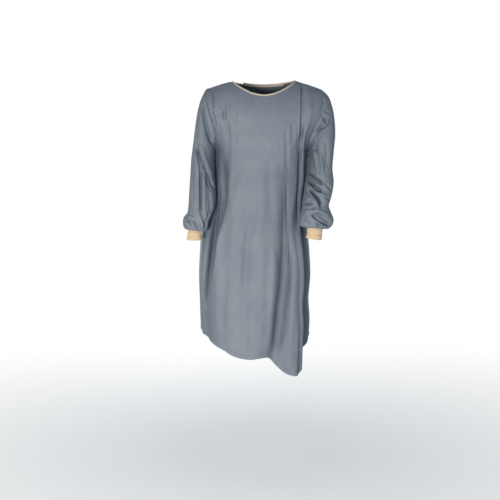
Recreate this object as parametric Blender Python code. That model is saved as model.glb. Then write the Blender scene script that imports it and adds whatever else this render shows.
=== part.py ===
"""Surgical gown in the form it has when worn: a front panel, two back panels that overlap,
two long sleeves with knit cuffs, a neck binding, a neck tab and tied waist ties.

Metres, +Z up. The front faces -Y and the wearer's left is +X. The origin lies midway between
the two points where the shoulder seams meet the neck, which is where the wearer's shoulders
hold the gown. Every piece is a wall of its real outline, 0.3 mm from its neighbour at a seam.
"""

from collections import namedtuple

import bmesh
import bpy
import numpy as np

# Cloth and seams
WALL = 0.0012
KNIT_WALL = 0.0018
SEAM_GAP = 0.0003
SLEEVE_LAP = 0.004

# Shoulders, neck and armholes
NECK_HALF = 0.128
NECK_DROP = 0.060
BACK_NECK_DROP = 0.014
NECK_POWER = 1.9
SHOULDER_HALF = 0.226
SHOULDER_FALL = 0.030
SHOULDER_POWER = 1.25
SHOULDER_ROUND = 0.16
TOP_ROUNDS = 3
ARMPIT_Z = -0.266
ARMHOLE_HALF_DEPTH = 0.066
ARMHOLE_TOP_POWER = 1.25
ARMHOLE_PIT_POWER = 1.80
ARMHOLE_KEEN_Z = -0.080
ARMHOLE_KEEN_RUN = 0.12
EASE_REACH = 0.075
EASE_SHARE = 0.35
EASE_Z = -0.110
EASE_RUN = 0.090
TOP_POWER = 2.3

# How far each back panel passes the centre, as a share of the half width, and how far apart they lie
OVERLAP_SHARE = 0.20
LAYER_TOP = 0.0032
LAYER_HEM = 0.0070
LAYER_START = 0.48
LAYER_END = 0.30

# Small pieces. The tab's ends and the knot are placed by their share of the back's half width
BINDING_HEIGHT = 0.0075
BINDING_HALF_THICK = 0.0014
CORNER_GAP = 0.0006
CORNER_REACH = 0.020
CUFF_RINGS = 5
TAB_HEIGHT = 0.026
TAB_DROP = 0.012
TAB_FROM = -0.08
TAB_TO = -0.33
TAB_WALL = 0.0012
TIE_WIDTH = 0.026
TIE_WALL = 0.0012
TIE_NARROW = 0.012
TAIL_NARROW = 0.008
TIE_NARROW_FROM = 0.7
KNOT_SHARE = -0.42
KNOT_Z = -0.468
KNOT_SIZE = (0.016, 0.008, 0.018)
KNOT_LIFT = 0.0020
LAID_GAP = 0.0008

# Mesh density
NECK_STEPS = 15
SHOULDER_STEPS = 11
ARMHOLE_STEPS = 10
LOWER_ROWS = 17
BACK_STEPS = 10
BACK_NECK_STEPS = 5
SLEEVE_RINGS = 26
TAB_STEPS = 8
TIE_STEPS = 10

# Half widths and depths of the body by height, where its side seams lie and how square the section is
Section = namedtuple("Section", "z left right front back seam_y power")
BODY = [
    Section(-1.180, -0.242, 0.178, 0.196, 0.134, 0.030, 2.3),
    Section(-1.020, -0.247, 0.184, 0.193, 0.128, 0.030, 2.3),
    Section(-0.960, -0.250, 0.186, 0.191, 0.126, 0.030, 2.3),
    Section(-0.880, -0.253, 0.181, 0.189, 0.122, 0.030, 2.3),
    Section(-0.770, -0.257, 0.188, 0.186, 0.117, 0.030, 2.25),
    Section(-0.680, -0.254, 0.184, 0.184, 0.112, 0.032, 2.2),
    Section(-0.600, -0.248, 0.178, 0.182, 0.106, 0.034, 2.1),
    Section(-0.530, -0.230, 0.176, 0.181, 0.100, 0.036, 2.0),
    Section(-0.470, -0.213, 0.177, 0.179, 0.096, 0.037, 2.0),
    Section(-0.400, -0.203, 0.179, 0.174, 0.092, 0.036, 2.0),
    Section(-0.330, -0.199, 0.179, 0.162, 0.092, 0.034, 2.0),
    Section(-0.295, -0.194, 0.177, 0.150, 0.101, 0.022, 2.1),
    Section(ARMPIT_Z, -0.187, 0.173, 0.136, 0.110, 0.008, 2.2),
    Section(-0.227, -0.188, 0.177, 0.132, 0.113, 0.001, 2.25),
    Section(-0.180, -0.193, 0.196, 0.127, 0.114, 0.000, 2.3),
    Section(-0.130, -0.208, 0.220, 0.125, 0.112, 0.000, 2.3),
    Section(-0.080, -0.221, 0.226, 0.122, 0.110, 0.000, 2.3),
    Section(-0.030, -0.226, 0.226, 0.118, 0.108, 0.000, 2.3),
    Section(0.010, -0.226, 0.226, 0.116, 0.106, 0.000, 2.3),
]

# Height of the hem at each direction, in degrees: 0 front, 90 the wearer's left, 180 back
Hem = namedtuple("Hem", "degrees z")
HEM = [
    Hem(-180, -1.040),
    Hem(-135, -1.022),
    Hem(-90, -1.000),
    Hem(-57, -1.017),
    Hem(-45, -1.033),
    Hem(-32, -1.050),
    Hem(-22, -1.067),
    Hem(-5, -1.078),
    Hem(5, -1.073),
    Hem(11, -1.075),
    Hem(20, -1.107),
    Hem(29, -1.136),
    Hem(39, -1.151),
    Hem(51, -1.146),
    Hem(64, -1.105),
    Hem(80, -1.046),
    Hem(105, -1.030),
    Hem(140, -1.042),
    Hem(180, -1.040),
]

# Long folds of the body: direction and height out of the cloth at three heights, with an even spread
Fold = namedtuple("Fold", "z0 deg0 out0 z1 deg1 out1 z2 deg2 out2 spread")
FOLDS = [
    Fold(-0.400, 32, -0.006, -0.720, 29, -0.017, -1.100, 12, -0.021, 8.0),
    Fold(-0.560, 47, 0.004, -0.820, 42, 0.014, -1.130, 42, 0.020, 9.0),
    Fold(-0.480, 62, -0.008, -0.620, 64, -0.024, -0.780, 68, -0.036, 7.0),
    Fold(-0.780, 68, 0.000, -0.960, 70, -0.008, -1.100, 70, 0.012, 6.0),
    Fold(-0.060, 41, -0.007, -0.270, 50, -0.010, -0.560, 46, -0.008, 4.6),
    Fold(-0.120, 50, 0.003, -0.330, 58, 0.007, -0.580, 53, 0.008, 4.6),
    Fold(-0.380, -52, -0.012, -0.640, -51, -0.030, -0.920, -64, -0.006, 6.5),
    Fold(-0.500, -68, 0.002, -0.700, -70, 0.005, -1.000, -76, 0.003, 8.0),
    Fold(-0.300, -36, 0.003, -0.620, -38, 0.007, -1.000, -44, 0.004, 8.0),
    Fold(-0.480, -5, -0.002, -0.720, -7, -0.006, -1.000, -9, -0.003, 5.0),
    Fold(-0.480, 6, 0.002, -0.800, 3, 0.006, -1.120, -3, 0.009, 7.0),
    Fold(-0.070, -34, -0.004, -0.110, -34, -0.007, -0.170, -33, -0.002, 4.6),
    Fold(-0.100, -46, -0.004, -0.150, -45, -0.007, -0.240, -44, -0.002, 4.6),
    Fold(-0.300, 118, -0.003, -0.650, 120, -0.016, -1.100, 124, -0.022, 8.0),
    Fold(-0.350, 101, 0.004, -0.700, 102, 0.010, -1.100, 103, 0.012, 8.0),
    Fold(-0.300, 141, 0.003, -0.650, 143, 0.010, -1.100, 146, 0.016, 8.0),
    Fold(-0.300, -103, 0.002, -0.700, -100, 0.008, -1.100, -99, 0.013, 8.0),
    Fold(-0.350, -121, -0.004, -0.700, -121, -0.016, -1.100, -122, -0.022, 8.0),
    Fold(-0.300, -142, 0.003, -0.700, -143, 0.010, -1.100, -145, 0.015, 8.0),
]

# Rings of a sleeve: the outer and the inner end as seen from the front, the middle's depth and half the depth
Ring = namedtuple("Ring", "outer_x outer_z inner_x inner_z y half_depth")
RIGHT_RINGS = [
    Ring(-0.2440, -0.060, -0.1925, -0.2730, -0.002, 0.070),
    Ring(-0.2590, -0.108, -0.1945, -0.2860, -0.009, 0.067),
    Ring(-0.2690, -0.170, -0.1950, -0.3100, -0.021, 0.064),
    Ring(-0.2770, -0.235, -0.1925, -0.3420, -0.031, 0.063),
    Ring(-0.2850, -0.300, -0.1910, -0.3780, -0.042, 0.061),
    Ring(-0.2890, -0.370, -0.1880, -0.4180, -0.053, 0.060),
    Ring(-0.2925, -0.430, -0.1870, -0.4560, -0.068, 0.058),
    Ring(-0.2960, -0.490, -0.1950, -0.5010, -0.082, 0.056),
    Ring(-0.2990, -0.508, -0.2030, -0.5180, -0.087, 0.056),
    Ring(-0.3130, -0.527, -0.2120, -0.5380, -0.093, 0.054),
    Ring(-0.3160, -0.546, -0.2170, -0.5540, -0.096, 0.051),
    Ring(-0.3120, -0.564, -0.2190, -0.5680, -0.097, 0.046),
    Ring(-0.3010, -0.573, -0.2280, -0.5780, -0.097, 0.040),
]
LEFT_RINGS = [
    Ring(0.2520, -0.053, 0.1785, -0.2730, -0.002, 0.070),
    Ring(0.2690, -0.094, 0.1790, -0.2860, -0.009, 0.067),
    Ring(0.2780, -0.145, 0.1775, -0.3060, -0.021, 0.064),
    Ring(0.2810, -0.200, 0.1735, -0.3300, -0.031, 0.062),
    Ring(0.2745, -0.275, 0.1690, -0.3640, -0.044, 0.061),
    Ring(0.2690, -0.335, 0.1620, -0.3960, -0.058, 0.061),
    Ring(0.2725, -0.395, 0.1570, -0.4320, -0.078, 0.060),
    Ring(0.2600, -0.455, 0.1500, -0.4700, -0.096, 0.060),
    Ring(0.2520, -0.480, 0.1470, -0.4960, -0.106, 0.060),
    Ring(0.2620, -0.510, 0.1380, -0.5240, -0.114, 0.059),
    Ring(0.2700, -0.538, 0.1330, -0.5460, -0.119, 0.056),
    Ring(0.2620, -0.558, 0.1400, -0.5560, -0.121, 0.050),
    Ring(0.2480, -0.567, 0.1520, -0.5600, -0.122, 0.042),
]
# Cuffs: the upper and the lower ring, in the same columns
RIGHT_CUFF = [
    Ring(-0.2950, -0.5600, -0.2470, -0.5640, -0.0970, 0.0290),
    Ring(-0.3015, -0.6140, -0.2430, -0.6150, -0.1000, 0.0300),
]
LEFT_CUFF = [
    Ring(0.2290, -0.5500, 0.1700, -0.5470, -0.1220, 0.0300),
    Ring(0.2235, -0.6120, 0.1640, -0.6040, -0.1260, 0.0300),
]

# Creases of the sleeves, as arcs seen from the front or from behind: two ends, bow, spread and height
Crease = namedtuple("Crease", "side x0 z0 x1 z1 bow spread out")
RIGHT_CREASES = [
    Crease("front", -0.268, -0.225, -0.196, -0.420, -0.010, 0.011, -0.012),
    Crease("front", -0.247, -0.330, -0.247, -0.520, 0.000, 0.009, -0.009),
    Crease("front", -0.230, -0.340, -0.230, -0.520, 0.000, 0.010, 0.006),
    Crease("front", -0.246, -0.080, -0.200, -0.240, -0.006, 0.012, -0.008),
    Crease("front", -0.300, -0.525, -0.250, -0.560, 0.006, 0.010, -0.006),
    Crease("back", -0.236, -0.150, -0.232, -0.380, 0.006, 0.013, -0.009),
    Crease("back", -0.272, -0.300, -0.206, -0.420, 0.010, 0.012, -0.009),
    Crease("back", -0.280, -0.420, -0.212, -0.500, 0.008, 0.012, -0.009),
]
LEFT_CREASES = [
    Crease("front", 0.182, -0.212, 0.250, -0.135, -0.006, 0.011, -0.009),
    Crease("front", 0.160, -0.350, 0.236, -0.394, -0.004, 0.010, -0.011),
    Crease("front", 0.158, -0.376, 0.228, -0.428, -0.004, 0.010, -0.010),
    Crease("front", 0.164, -0.415, 0.230, -0.488, 0.006, 0.011, -0.012),
    Crease("front", 0.182, -0.505, 0.262, -0.560, 0.008, 0.011, -0.012),
    Crease("front", 0.148, -0.474, 0.200, -0.486, 0.004, 0.010, -0.009),
    Crease("front", 0.195, -0.260, 0.222, -0.360, 0.006, 0.012, 0.006),
    Crease("back", 0.240, -0.130, 0.208, -0.330, 0.006, 0.013, -0.009),
    Crease("back", 0.174, -0.380, 0.252, -0.350, 0.006, 0.012, -0.010),
    Crease("back", 0.168, -0.450, 0.250, -0.420, 0.006, 0.012, -0.010),
    Crease("back", 0.164, -0.505, 0.246, -0.525, -0.006, 0.012, -0.010),
]

# Level runs of the waist ties: shares and heights of both ends
Run = namedtuple("Run", "share0 share1 z0 z1")
LEFT_TIE = Run(0.02, -0.367, -0.450, -0.466)
RIGHT_TIE = Run(-0.943, -0.461, -0.438, -0.466)

# Free ends of the ties: sideways places from the knot, lifts, length and how far the band is turned
Tail = namedtuple("Tail", "x0 x1 lift0 lift1 length turn")
LEFT_TAIL = Tail(0.0048, 0.022, 0.0106, 0.0160, 0.185, 0.25)
RIGHT_TAIL = Tail(-0.0048, -0.034, 0.0106, 0.0085, 0.215, 0.25)

# Colours of the materials: colour, roughness
BLUE = ((0.235, 0.285, 0.330), 0.72)
CREAM = ((0.740, 0.620, 0.440), 0.90)
BINDING_CREAM = ((0.640, 0.570, 0.460), 0.88)
TAB_WHITE = ((0.700, 0.700, 0.680), 0.85)


def smooth(keys, values, at):
    """A smooth curve through the values, read at the points given."""
    keys, values = np.asarray(keys, float), np.asarray(values, float)
    slopes = np.gradient(values, keys)
    at = np.clip(at, keys[0], keys[-1])
    i = np.clip(np.searchsorted(keys, at, side="right") - 1, 0, len(keys) - 2)
    step = keys[i + 1] - keys[i]
    u = (at - keys[i]) / step
    start = (1 + 2 * u) * (1 - u) ** 2 * values[i] + u * (1 - u) ** 2 * step * slopes[i]
    end = u * u * (3 - 2 * u) * values[i + 1] + u * u * (u - 1) * step * slopes[i + 1]
    return start + end


def column(table, name, at):
    """One column of a table, read at the points given along its first column."""
    return smooth([row[0] for row in table], [getattr(row, name) for row in table], at)


def fade(x):
    """0 below 0, 1 above 1 and smooth between."""
    x = np.clip(x, 0, 1)
    return x * x * (3 - 2 * x)


def unit(v):
    return v / np.maximum(np.linalg.norm(v, axis=-1, keepdims=True), 1e-12)


def shoulder_height(x):
    """Height of the shoulder line, level between the neck points."""
    run = np.clip((np.abs(x) - NECK_HALF) / (SHOULDER_HALF - NECK_HALF), 0, 1)
    return -SHOULDER_FALL * run**SHOULDER_POWER


def top_height(x, drop):
    """Upper edge of a panel: the shoulder seam, and the neckline between the neck points."""
    across = np.clip(np.abs(x) / NECK_HALF, 0, 1)
    return shoulder_height(x) - drop * (1 - across**NECK_POWER)


def armhole_depth(z):
    """Half the armhole's opening from front to back at a height."""
    middle = (ARMPIT_Z - SHOULDER_FALL) / 2
    half = (-SHOULDER_FALL - ARMPIT_Z) / 2
    return ARMHOLE_HALF_DEPTH * np.sqrt(np.clip(1 - ((z - middle) / half) ** 2, 0, 1))


def eased_depth(z, share):
    """The armhole's depth, evened out over heights near the armpit where the cloth spans it."""
    reach = EASE_REACH * fade((1 - np.abs(share)) / EASE_SHARE) * fade((EASE_Z - z) / EASE_RUN)
    steps = np.linspace(-1, 1, 9)
    weights = (1 - steps**2) ** 2
    levels = sum(w * armhole_depth(z + reach * step) for w, step in zip(weights, steps))
    return levels / weights.sum()


def body_point(facing, share, z):
    """The body's smooth surface. share runs from -1 at the -X side to 1; facing is -1 front, 1 back."""
    left, right = column(BODY, "left", z), column(BODY, "right", z)
    turn, power = np.radians(90 * share), column(BODY, "power", z)
    across = np.sign(share) * np.abs(np.sin(turn)) ** (2 / power)
    crown = np.abs(np.cos(turn)) ** (2 / power)
    x = (left + right) / 2 + (right - left) / 2 * across
    below = np.clip((shoulder_height(x) - z) / SHOULDER_ROUND, 0, 1)
    reach = column(BODY, "front" if facing < 0 else "back", z) * np.sqrt(1 - (1 - below) ** 2)
    keen = fade((ARMHOLE_KEEN_Z - z) / ARMHOLE_KEEN_RUN)
    keen = ARMHOLE_TOP_POWER + (ARMHOLE_PIT_POWER - ARMHOLE_TOP_POWER) * keen
    edge = eased_depth(z, share) * (1 - crown) ** keen
    y = facing * (reach * crown + edge) + column(BODY, "seam_y", z)
    return np.stack([x, y, z], axis=-1)


def through(a, b, c, u):
    """A curve through three values at u = 0, 0.5 and 1."""
    return a * (1 - u) * (1 - 2 * u) + 4 * b * u * (1 - u) + c * u * (2 * u - 1)


def fold_height(degrees, z):
    """How far the long folds stand out of the body's surface, in metres."""
    total = np.zeros_like(z)
    for f in FOLDS:
        low = np.clip((f.z0 - z) / (f.z0 - f.z1), 0, 1) / 2
        u = low + np.clip((f.z1 - z) / (f.z1 - f.z2), 0, 1) / 2
        start = fade((f.z0 - z) / 0.12 + 1)
        away = (degrees - through(f.deg0, f.deg1, f.deg2, u) + 180) % 360 - 180
        total = total + start * through(f.out0, f.out1, f.out2, u) * np.exp(-((away / f.spread) ** 2))
    return total


def normals_of(grid, wrap=False):
    """Unit normals of a grid of points, rows by columns. wrap joins the last column to the first."""
    along = np.gradient(grid, axis=0)
    if wrap:
        across = (np.roll(grid, -1, axis=1) - np.roll(grid, 1, axis=1)) / 2
    else:
        across = np.gradient(grid, axis=1)
    return unit(np.cross(across, along))


def facing_normals(grid, facing):
    """Normals of a panel, turned to the side it faces."""
    normals = normals_of(grid)
    return normals * np.sign(normals[..., 1].mean() * facing)


def body_rows(share, facing, drop):
    """Heights of a panel's rows at each column: even below the armpit, close at both ends above it."""
    degrees = 90 * share if facing < 0 else 180 - 90 * share
    degrees = (degrees + 180) % 360 - 180
    hem = column(HEM, "z", degrees)
    low = np.linspace(0, 1, LOWER_ROWS + 1)[:, None]
    lower = hem + (ARMPIT_Z - hem) * low
    top = np.full_like(share, -SHOULDER_FALL)
    for _ in range(TOP_ROUNDS):
        top = top_height(body_point(facing, share, top)[:, 0], drop)
    high = (1 - np.cos(np.linspace(0, np.pi, ARMHOLE_STEPS + 1)))[1:, None] / 2
    return np.vstack([lower, ARMPIT_Z + (top - ARMPIT_Z) * high])


def panel(share, facing, drop, lift=None):
    """Points and normals of a body panel with its folds, rows by columns, at the shares given."""
    z = body_rows(share, facing, drop)
    grid_share = np.broadcast_to(share, z.shape)
    base = body_point(facing, grid_share, z)
    on_shoulder = np.zeros(z.shape, bool)
    on_shoulder[-1] = np.abs(share) >= share_at(NECK_HALF / SHOULDER_HALF) - 1e-6
    base[on_shoulder, 1] = 0.0
    normals = facing_normals(base, facing)
    seam = np.abs(grid_share) > 1 - 1e-6
    below = z < ARMPIT_Z + 1e-6
    normals[seam & below] = np.array([1.0, 0, 0]) * np.sign(grid_share[seam & below])[:, None]
    normals[on_shoulder, 1] = 0
    normals = unit(normals)
    degrees = 90 * grid_share if facing < 0 else 180 - 90 * grid_share
    mask = fade((shoulder_height(base[..., 0]) - z) / 0.07)
    over_armpit = fade((z - ARMPIT_Z) / 0.05 + 1)
    mask = mask * (1 - over_armpit * (1 - fade((1 - np.abs(grid_share)) / 0.25)))
    out = fold_height(degrees, z) * mask
    if lift is not None:
        out = out + lift(grid_share, z)
    points = base + normals * out[..., None]
    settled = facing_normals(points, facing)
    keep = seam | on_shoulder
    settled[keep] = normals[keep]
    points[..., 1] += np.where(seam | on_shoulder, facing * SEAM_GAP / 2, 0.0)
    return points, unit(settled)


def wall_faces(grid, wrap):
    """Triangles of a closed wall over a grid of points and a second one behind it.

    Both sides are split along the same diagonal, the shorter one of the first grid.
    """
    rows, columns = grid.shape[:2]
    count = rows * columns
    flat = grid.reshape(-1, 3)
    around = columns if wrap else columns - 1
    faces = []
    for r in range(rows - 1):
        for c in range(around):
            a, b = r * columns + c, r * columns + (c + 1) % columns
            d, e = a + columns, b + columns
            if np.linalg.norm(flat[a] - flat[e]) < np.linalg.norm(flat[b] - flat[d]):
                pair = [(a, b, e), (a, e, d)]
            else:
                pair = [(a, b, d), (b, e, d)]
            faces += pair
            faces += [tuple(count + i for i in reversed(face)) for face in pair]
    rims = [[r * columns + c for c in range(columns)] for r in (0, rows - 1)]
    if wrap:
        rims = [rim + rim[:1] for rim in rims]
    else:
        rims += [[r * columns + c for r in range(rows)] for c in (0, columns - 1)]
    for rim in rims:
        for a, b in zip(rim, rim[1:]):
            faces += [(a, b, count + b), (a, count + b, count + a)]
    return faces


def make_object(name, points, faces, material):
    """A closed mesh object with its faces pointing out."""
    mesh = bpy.data.meshes.new(name)
    made = bmesh.new()
    corners = [made.verts.new(p) for p in points]
    for face in faces:
        made.faces.new([corners[i] for i in face])
    bmesh.ops.recalc_face_normals(made, faces=made.faces)
    made.to_mesh(mesh)
    made.free()
    mesh.shade_smooth()
    mesh.materials.append(material)
    obj = bpy.data.objects.new(name, mesh)
    bpy.context.scene.collection.objects.link(obj)
    return obj


def make_wall(name, grid, normals, thickness, material, wrap=False):
    """A wall whose outer side is the grid and whose inner side lies a thickness behind it."""
    inner = grid - normals * thickness
    points = np.concatenate([grid.reshape(-1, 3), inner.reshape(-1, 3)])
    return make_object(name, points.tolist(), wall_faces(grid, wrap), material)


def make_material(name, colour, roughness):
    material = bpy.data.materials.new(name)
    material.use_nodes = True
    shader = material.node_tree.nodes["Principled BSDF"]
    shader.inputs["Base Color"].default_value = (*colour, 1.0)
    shader.inputs["Roughness"].default_value = roughness
    shader.inputs["Metallic"].default_value = 0.0
    return material


def share_at(x_across):
    """The share of a panel's half width whose point lies at this part of it."""
    return 2 / np.pi * np.arcsin(np.clip(x_across, 0, 1) ** (TOP_POWER / 2))


def front_shares():
    """Columns of the front panel, with one at each neck point and closer together towards it."""
    neck = share_at(NECK_HALF / SHOULDER_HALF)
    outside = np.linspace(neck, 1, SHOULDER_STEPS + 1)
    even = np.linspace(-1, 1, NECK_STEPS + 1)[1:-1]
    closer = (even + np.sin(np.pi / 2 * even)) / 2
    return np.concatenate([-outside[::-1], neck * closer, outside])


def back_shares():
    """Columns of the wearer's-left back panel, from its side seam past the centre."""
    neck = share_at(NECK_HALF / SHOULDER_HALF)
    outside = np.linspace(1, neck, BACK_STEPS + 1)
    return np.concatenate([outside, np.linspace(neck, -OVERLAP_SHARE, BACK_NECK_STEPS + 2)[1:]])


def layer_lift(over):
    """Lift of a back panel near the overlap: outwards on the outer panel, inwards on the inner one."""

    def lift(share, z):
        towards = share if over else -share
        near = fade((LAYER_START - towards) / (LAYER_START - LAYER_END))
        deep = LAYER_TOP + (LAYER_HEM - LAYER_TOP) * fade(-z / 0.6)
        return (1 if over else -1) * near * deep

    return lift


def armhole_loop(side):
    """The armhole as a loop of points from the shoulder tip by the front to the armpit and back up."""
    high = np.cos(np.linspace(0, np.pi, ARMHOLE_STEPS + 1))
    z = ARMPIT_Z + (-SHOULDER_FALL - ARMPIT_Z) * (1 + high) / 2
    share = np.full_like(z, float(side))
    front, back = body_point(-1, share, z), body_point(1, share, z)
    return np.concatenate([front, back[1:-1][::-1]])


def ring_points(ring, turn):
    """One ring of a sleeve or cuff. turn is 0 at the outer end, a quarter turn at the front."""
    middle = np.array([(ring[0] + ring[2]) / 2, ring[4], (ring[1] + ring[3]) / 2])
    half = np.array([(ring[0] - ring[2]) / 2, 0, (ring[1] - ring[3]) / 2])
    depth = np.array([0, -ring[5], 0])
    return middle + np.cos(turn)[:, None] * half + np.sin(turn)[:, None] * depth


def crease_height(creases, points, normals):
    """How far the creases move each point along its normal."""
    total = np.zeros(points.shape[:-1])
    for c in creases:
        start, end = np.array([c.x0, c.z0]), np.array([c.x1, c.z1])
        run = end - start
        length = np.linalg.norm(run)
        direction = run / length
        across = np.array([-direction[1], direction[0]])
        place = points[..., [0, 2]] - start
        u = np.clip(place @ direction / length, 0, 1)
        arc = start + u[..., None] * run + (4 * c.bow * u * (1 - u))[..., None] * across
        away = np.linalg.norm(points[..., [0, 2]] - arc, axis=-1)
        faces_it = fade(normals[..., 1] * (-1 if c.side == "front" else 1) * 1.6)
        ends = fade(u / 0.2) * fade((1 - u) / 0.2)
        total += c.out * ends * faces_it * np.exp(-((away / c.spread) ** 2))
    return total


def sleeve_grid(side, rings, cuff, creases):
    """Rings of a sleeve from the armhole to the cuff's upper edge, and their normals."""
    count = 2 * ARMHOLE_STEPS
    turn = np.arange(count) * 2 * np.pi / count
    loop = armhole_loop(side)
    share_down = SLEEVE_LAP / (cuff[0].outer_z - cuff[1].outer_z)
    under = Ring(*(np.array(cuff[0]) + (np.array(cuff[1]) - np.array(cuff[0])) * share_down))
    seam = under._replace(
        outer_x=under.outer_x + side * SEAM_GAP,
        inner_x=under.inner_x - side * SEAM_GAP,
        half_depth=under.half_depth + SEAM_GAP,
    )
    lower = Ring(*(0.45 * np.array(rings[-1]) + 0.55 * np.array(seam)))
    lower = lower._replace(outer_z=rings[-1].outer_z, inner_z=rings[-1].inner_z)
    stations = [loop] + [ring_points(r, turn) for r in [*rings, lower, seam]]
    runs = [np.linalg.norm(b - a, axis=1).mean() for a, b in zip(stations, stations[1:])]
    marks = np.concatenate([[0], np.cumsum(runs)])
    gathers = marks[-4:]
    at = np.interp(np.linspace(0, 1, SLEEVE_RINGS + 1), [0, 0.8, 1], [0, gathers[0], gathers[-1]])
    at = np.concatenate([at[at < gathers[0] - 0.004], gathers])
    grid = np.empty((len(at), count, 3))
    for c in range(count):
        for axis in range(3):
            grid[:, c, axis] = smooth(marks, [s[c, axis] for s in stations], at)
    normals = normals_of(grid, wrap=True)
    outward = grid - grid.mean(axis=1, keepdims=True)
    normals = normals * np.sign((normals * outward).sum())
    out = crease_height(creases, grid, normals)
    out[0] = 0
    out[-4:] = 0
    grid = grid + normals * out[..., None]
    grid[0, :, 0] += side * SEAM_GAP
    normals[0, :, 0] = 0
    pit = fade((-np.cos(turn) - 0.3) / 0.7)[:, None]
    normals[0] = unit((1 - pit) * unit(normals[0]) + pit * np.array([-side, 0, -0.3]))
    middles = cuff_grid(cuff)[0].mean(axis=1)
    normals[-1] = unit(middles[-1] - middles[0])
    return grid, normals


def cuff_grid(cuff):
    """Rings of a knit cuff and their normals."""
    count = 2 * ARMHOLE_STEPS
    turn = np.arange(count) * 2 * np.pi / count
    top, bottom = np.array(cuff[0]), np.array(cuff[1])
    steps = np.linspace(0, 1, CUFF_RINGS + 1)
    grid = np.array([ring_points(top + (bottom - top) * u, turn) for u in steps])
    normals = unit(grid - grid.mean(axis=1, keepdims=True))
    return grid, normals


def band_section(height, half_thick):
    """A rounded band seen end on: offsets out of the cloth and up from its edge."""
    bevel = half_thick * 0.6
    return [
        (-half_thick, 0),
        (-half_thick, height - bevel),
        (-half_thick + bevel, height),
        (half_thick - bevel, height),
        (half_thick, height - bevel),
        (half_thick, 0),
    ]


def make_binding(front, inner, outer, material):
    """The neck binding: from the inner back panel's edge, round the front, to the outer one's edge."""
    paths, outs = [], []
    neck = share_at(NECK_HALF / SHOULDER_HALF)
    for points, normals, shares, reverse in (inner, front, outer):
        on_neck = np.abs(shares) <= neck + 1e-6
        line, out = points[-1][on_neck], normals[-1][on_neck]
        if reverse:
            line, out = line[::-1], out[::-1]
        paths.append(line)
        outs.append(out)
    path = np.concatenate([paths[0], paths[1][1:-1], paths[2]])
    out = unit(np.concatenate([outs[0], outs[1][1:-1], outs[2]]))
    along = unit(np.gradient(path, axis=0))
    up = unit(np.cross(out, along))
    up = up * np.sign((up * (np.array([0, 0, 0.06]) - path)).sum(-1))[:, None]
    up = unit(up + np.array([0, 0, 0.35]))
    out = unit(out - (out * up).sum(-1, keepdims=True) * up)
    section = band_section(BINDING_HEIGHT, BINDING_HALF_THICK)
    near = fade(1 - (NECK_HALF - np.abs(path[:, :1])) / CORNER_REACH)
    base = path + up * (SEAM_GAP + CORNER_GAP * near) - out * WALL / 2
    loops = np.array([base + out * o + up * u for o, u in section])
    count, sides = len(path), len(section)
    points = loops.transpose(1, 0, 2).reshape(-1, 3)
    faces = []
    for i in range(count - 1):
        for s in range(sides):
            a, b = i * sides + s, i * sides + (s + 1) % sides
            faces.append((a, b, b + sides, a + sides))
    faces.append(tuple(range(sides)))
    faces.append(tuple((count - 1) * sides + s for s in reversed(range(sides))))
    return make_object("neck_binding", points.tolist(), faces, material)


def lay_on(panel_parts, shares, share, z, lift):
    """Points on a panel's own mesh at the shares and heights given, moved out by a lift."""
    points, normals = panel_parts
    order = np.argsort(shares)
    shares, points, normals = shares[order], points[:, order], normals[:, order]
    i = np.clip(np.searchsorted(shares, share, side="right") - 1, 0, len(shares) - 2)
    t = (share - shares[i]) / (shares[i + 1] - shares[i])
    laid, facing = np.zeros(z.shape + (3,)), np.zeros(z.shape + (3,))
    for index in np.ndindex(z.shape):
        for j, weight in ((i[index], 1 - t[index]), (i[index] + 1, t[index])):
            for axis in range(3):
                heights = points[:, j, 2]
                laid[index][axis] += weight * np.interp(z[index], heights, points[:, j, axis])
                facing[index][axis] += weight * np.interp(z[index], heights, normals[:, j, axis])
    facing = unit(facing)
    return laid + facing * lift[..., None], facing


def make_tab(outer, inner, material):
    """The hook tab at the back of the neck: sewn to the outer panel, past its edge, onto the inner one."""
    share = np.linspace(TAB_FROM, TAB_TO, TAB_STEPS + 1)
    x = body_point(1, share, np.full_like(share, -SHOULDER_FALL))[:, 0]
    top = top_height(x, BACK_NECK_DROP) - TAB_DROP
    z = np.array([top - TAB_HEIGHT, top - TAB_HEIGHT / 2, top])
    share = np.broadcast_to(share, z.shape)
    lift = np.full(z.shape, LAID_GAP + TAB_WALL)
    over = lay_on(outer, back_shares(), share, z, lift)
    under = lay_on(inner, -back_shares(), share, z, lift)
    beyond = fade((-OVERLAP_SHARE - 0.01 - share) / 0.07)[..., None]
    grid = over[0] * (1 - beyond) + under[0] * beyond
    normals = unit(over[1] * (1 - beyond) + under[1] * beyond)
    return make_wall("neck_tab", grid, normals, TAB_WALL, material)


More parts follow.
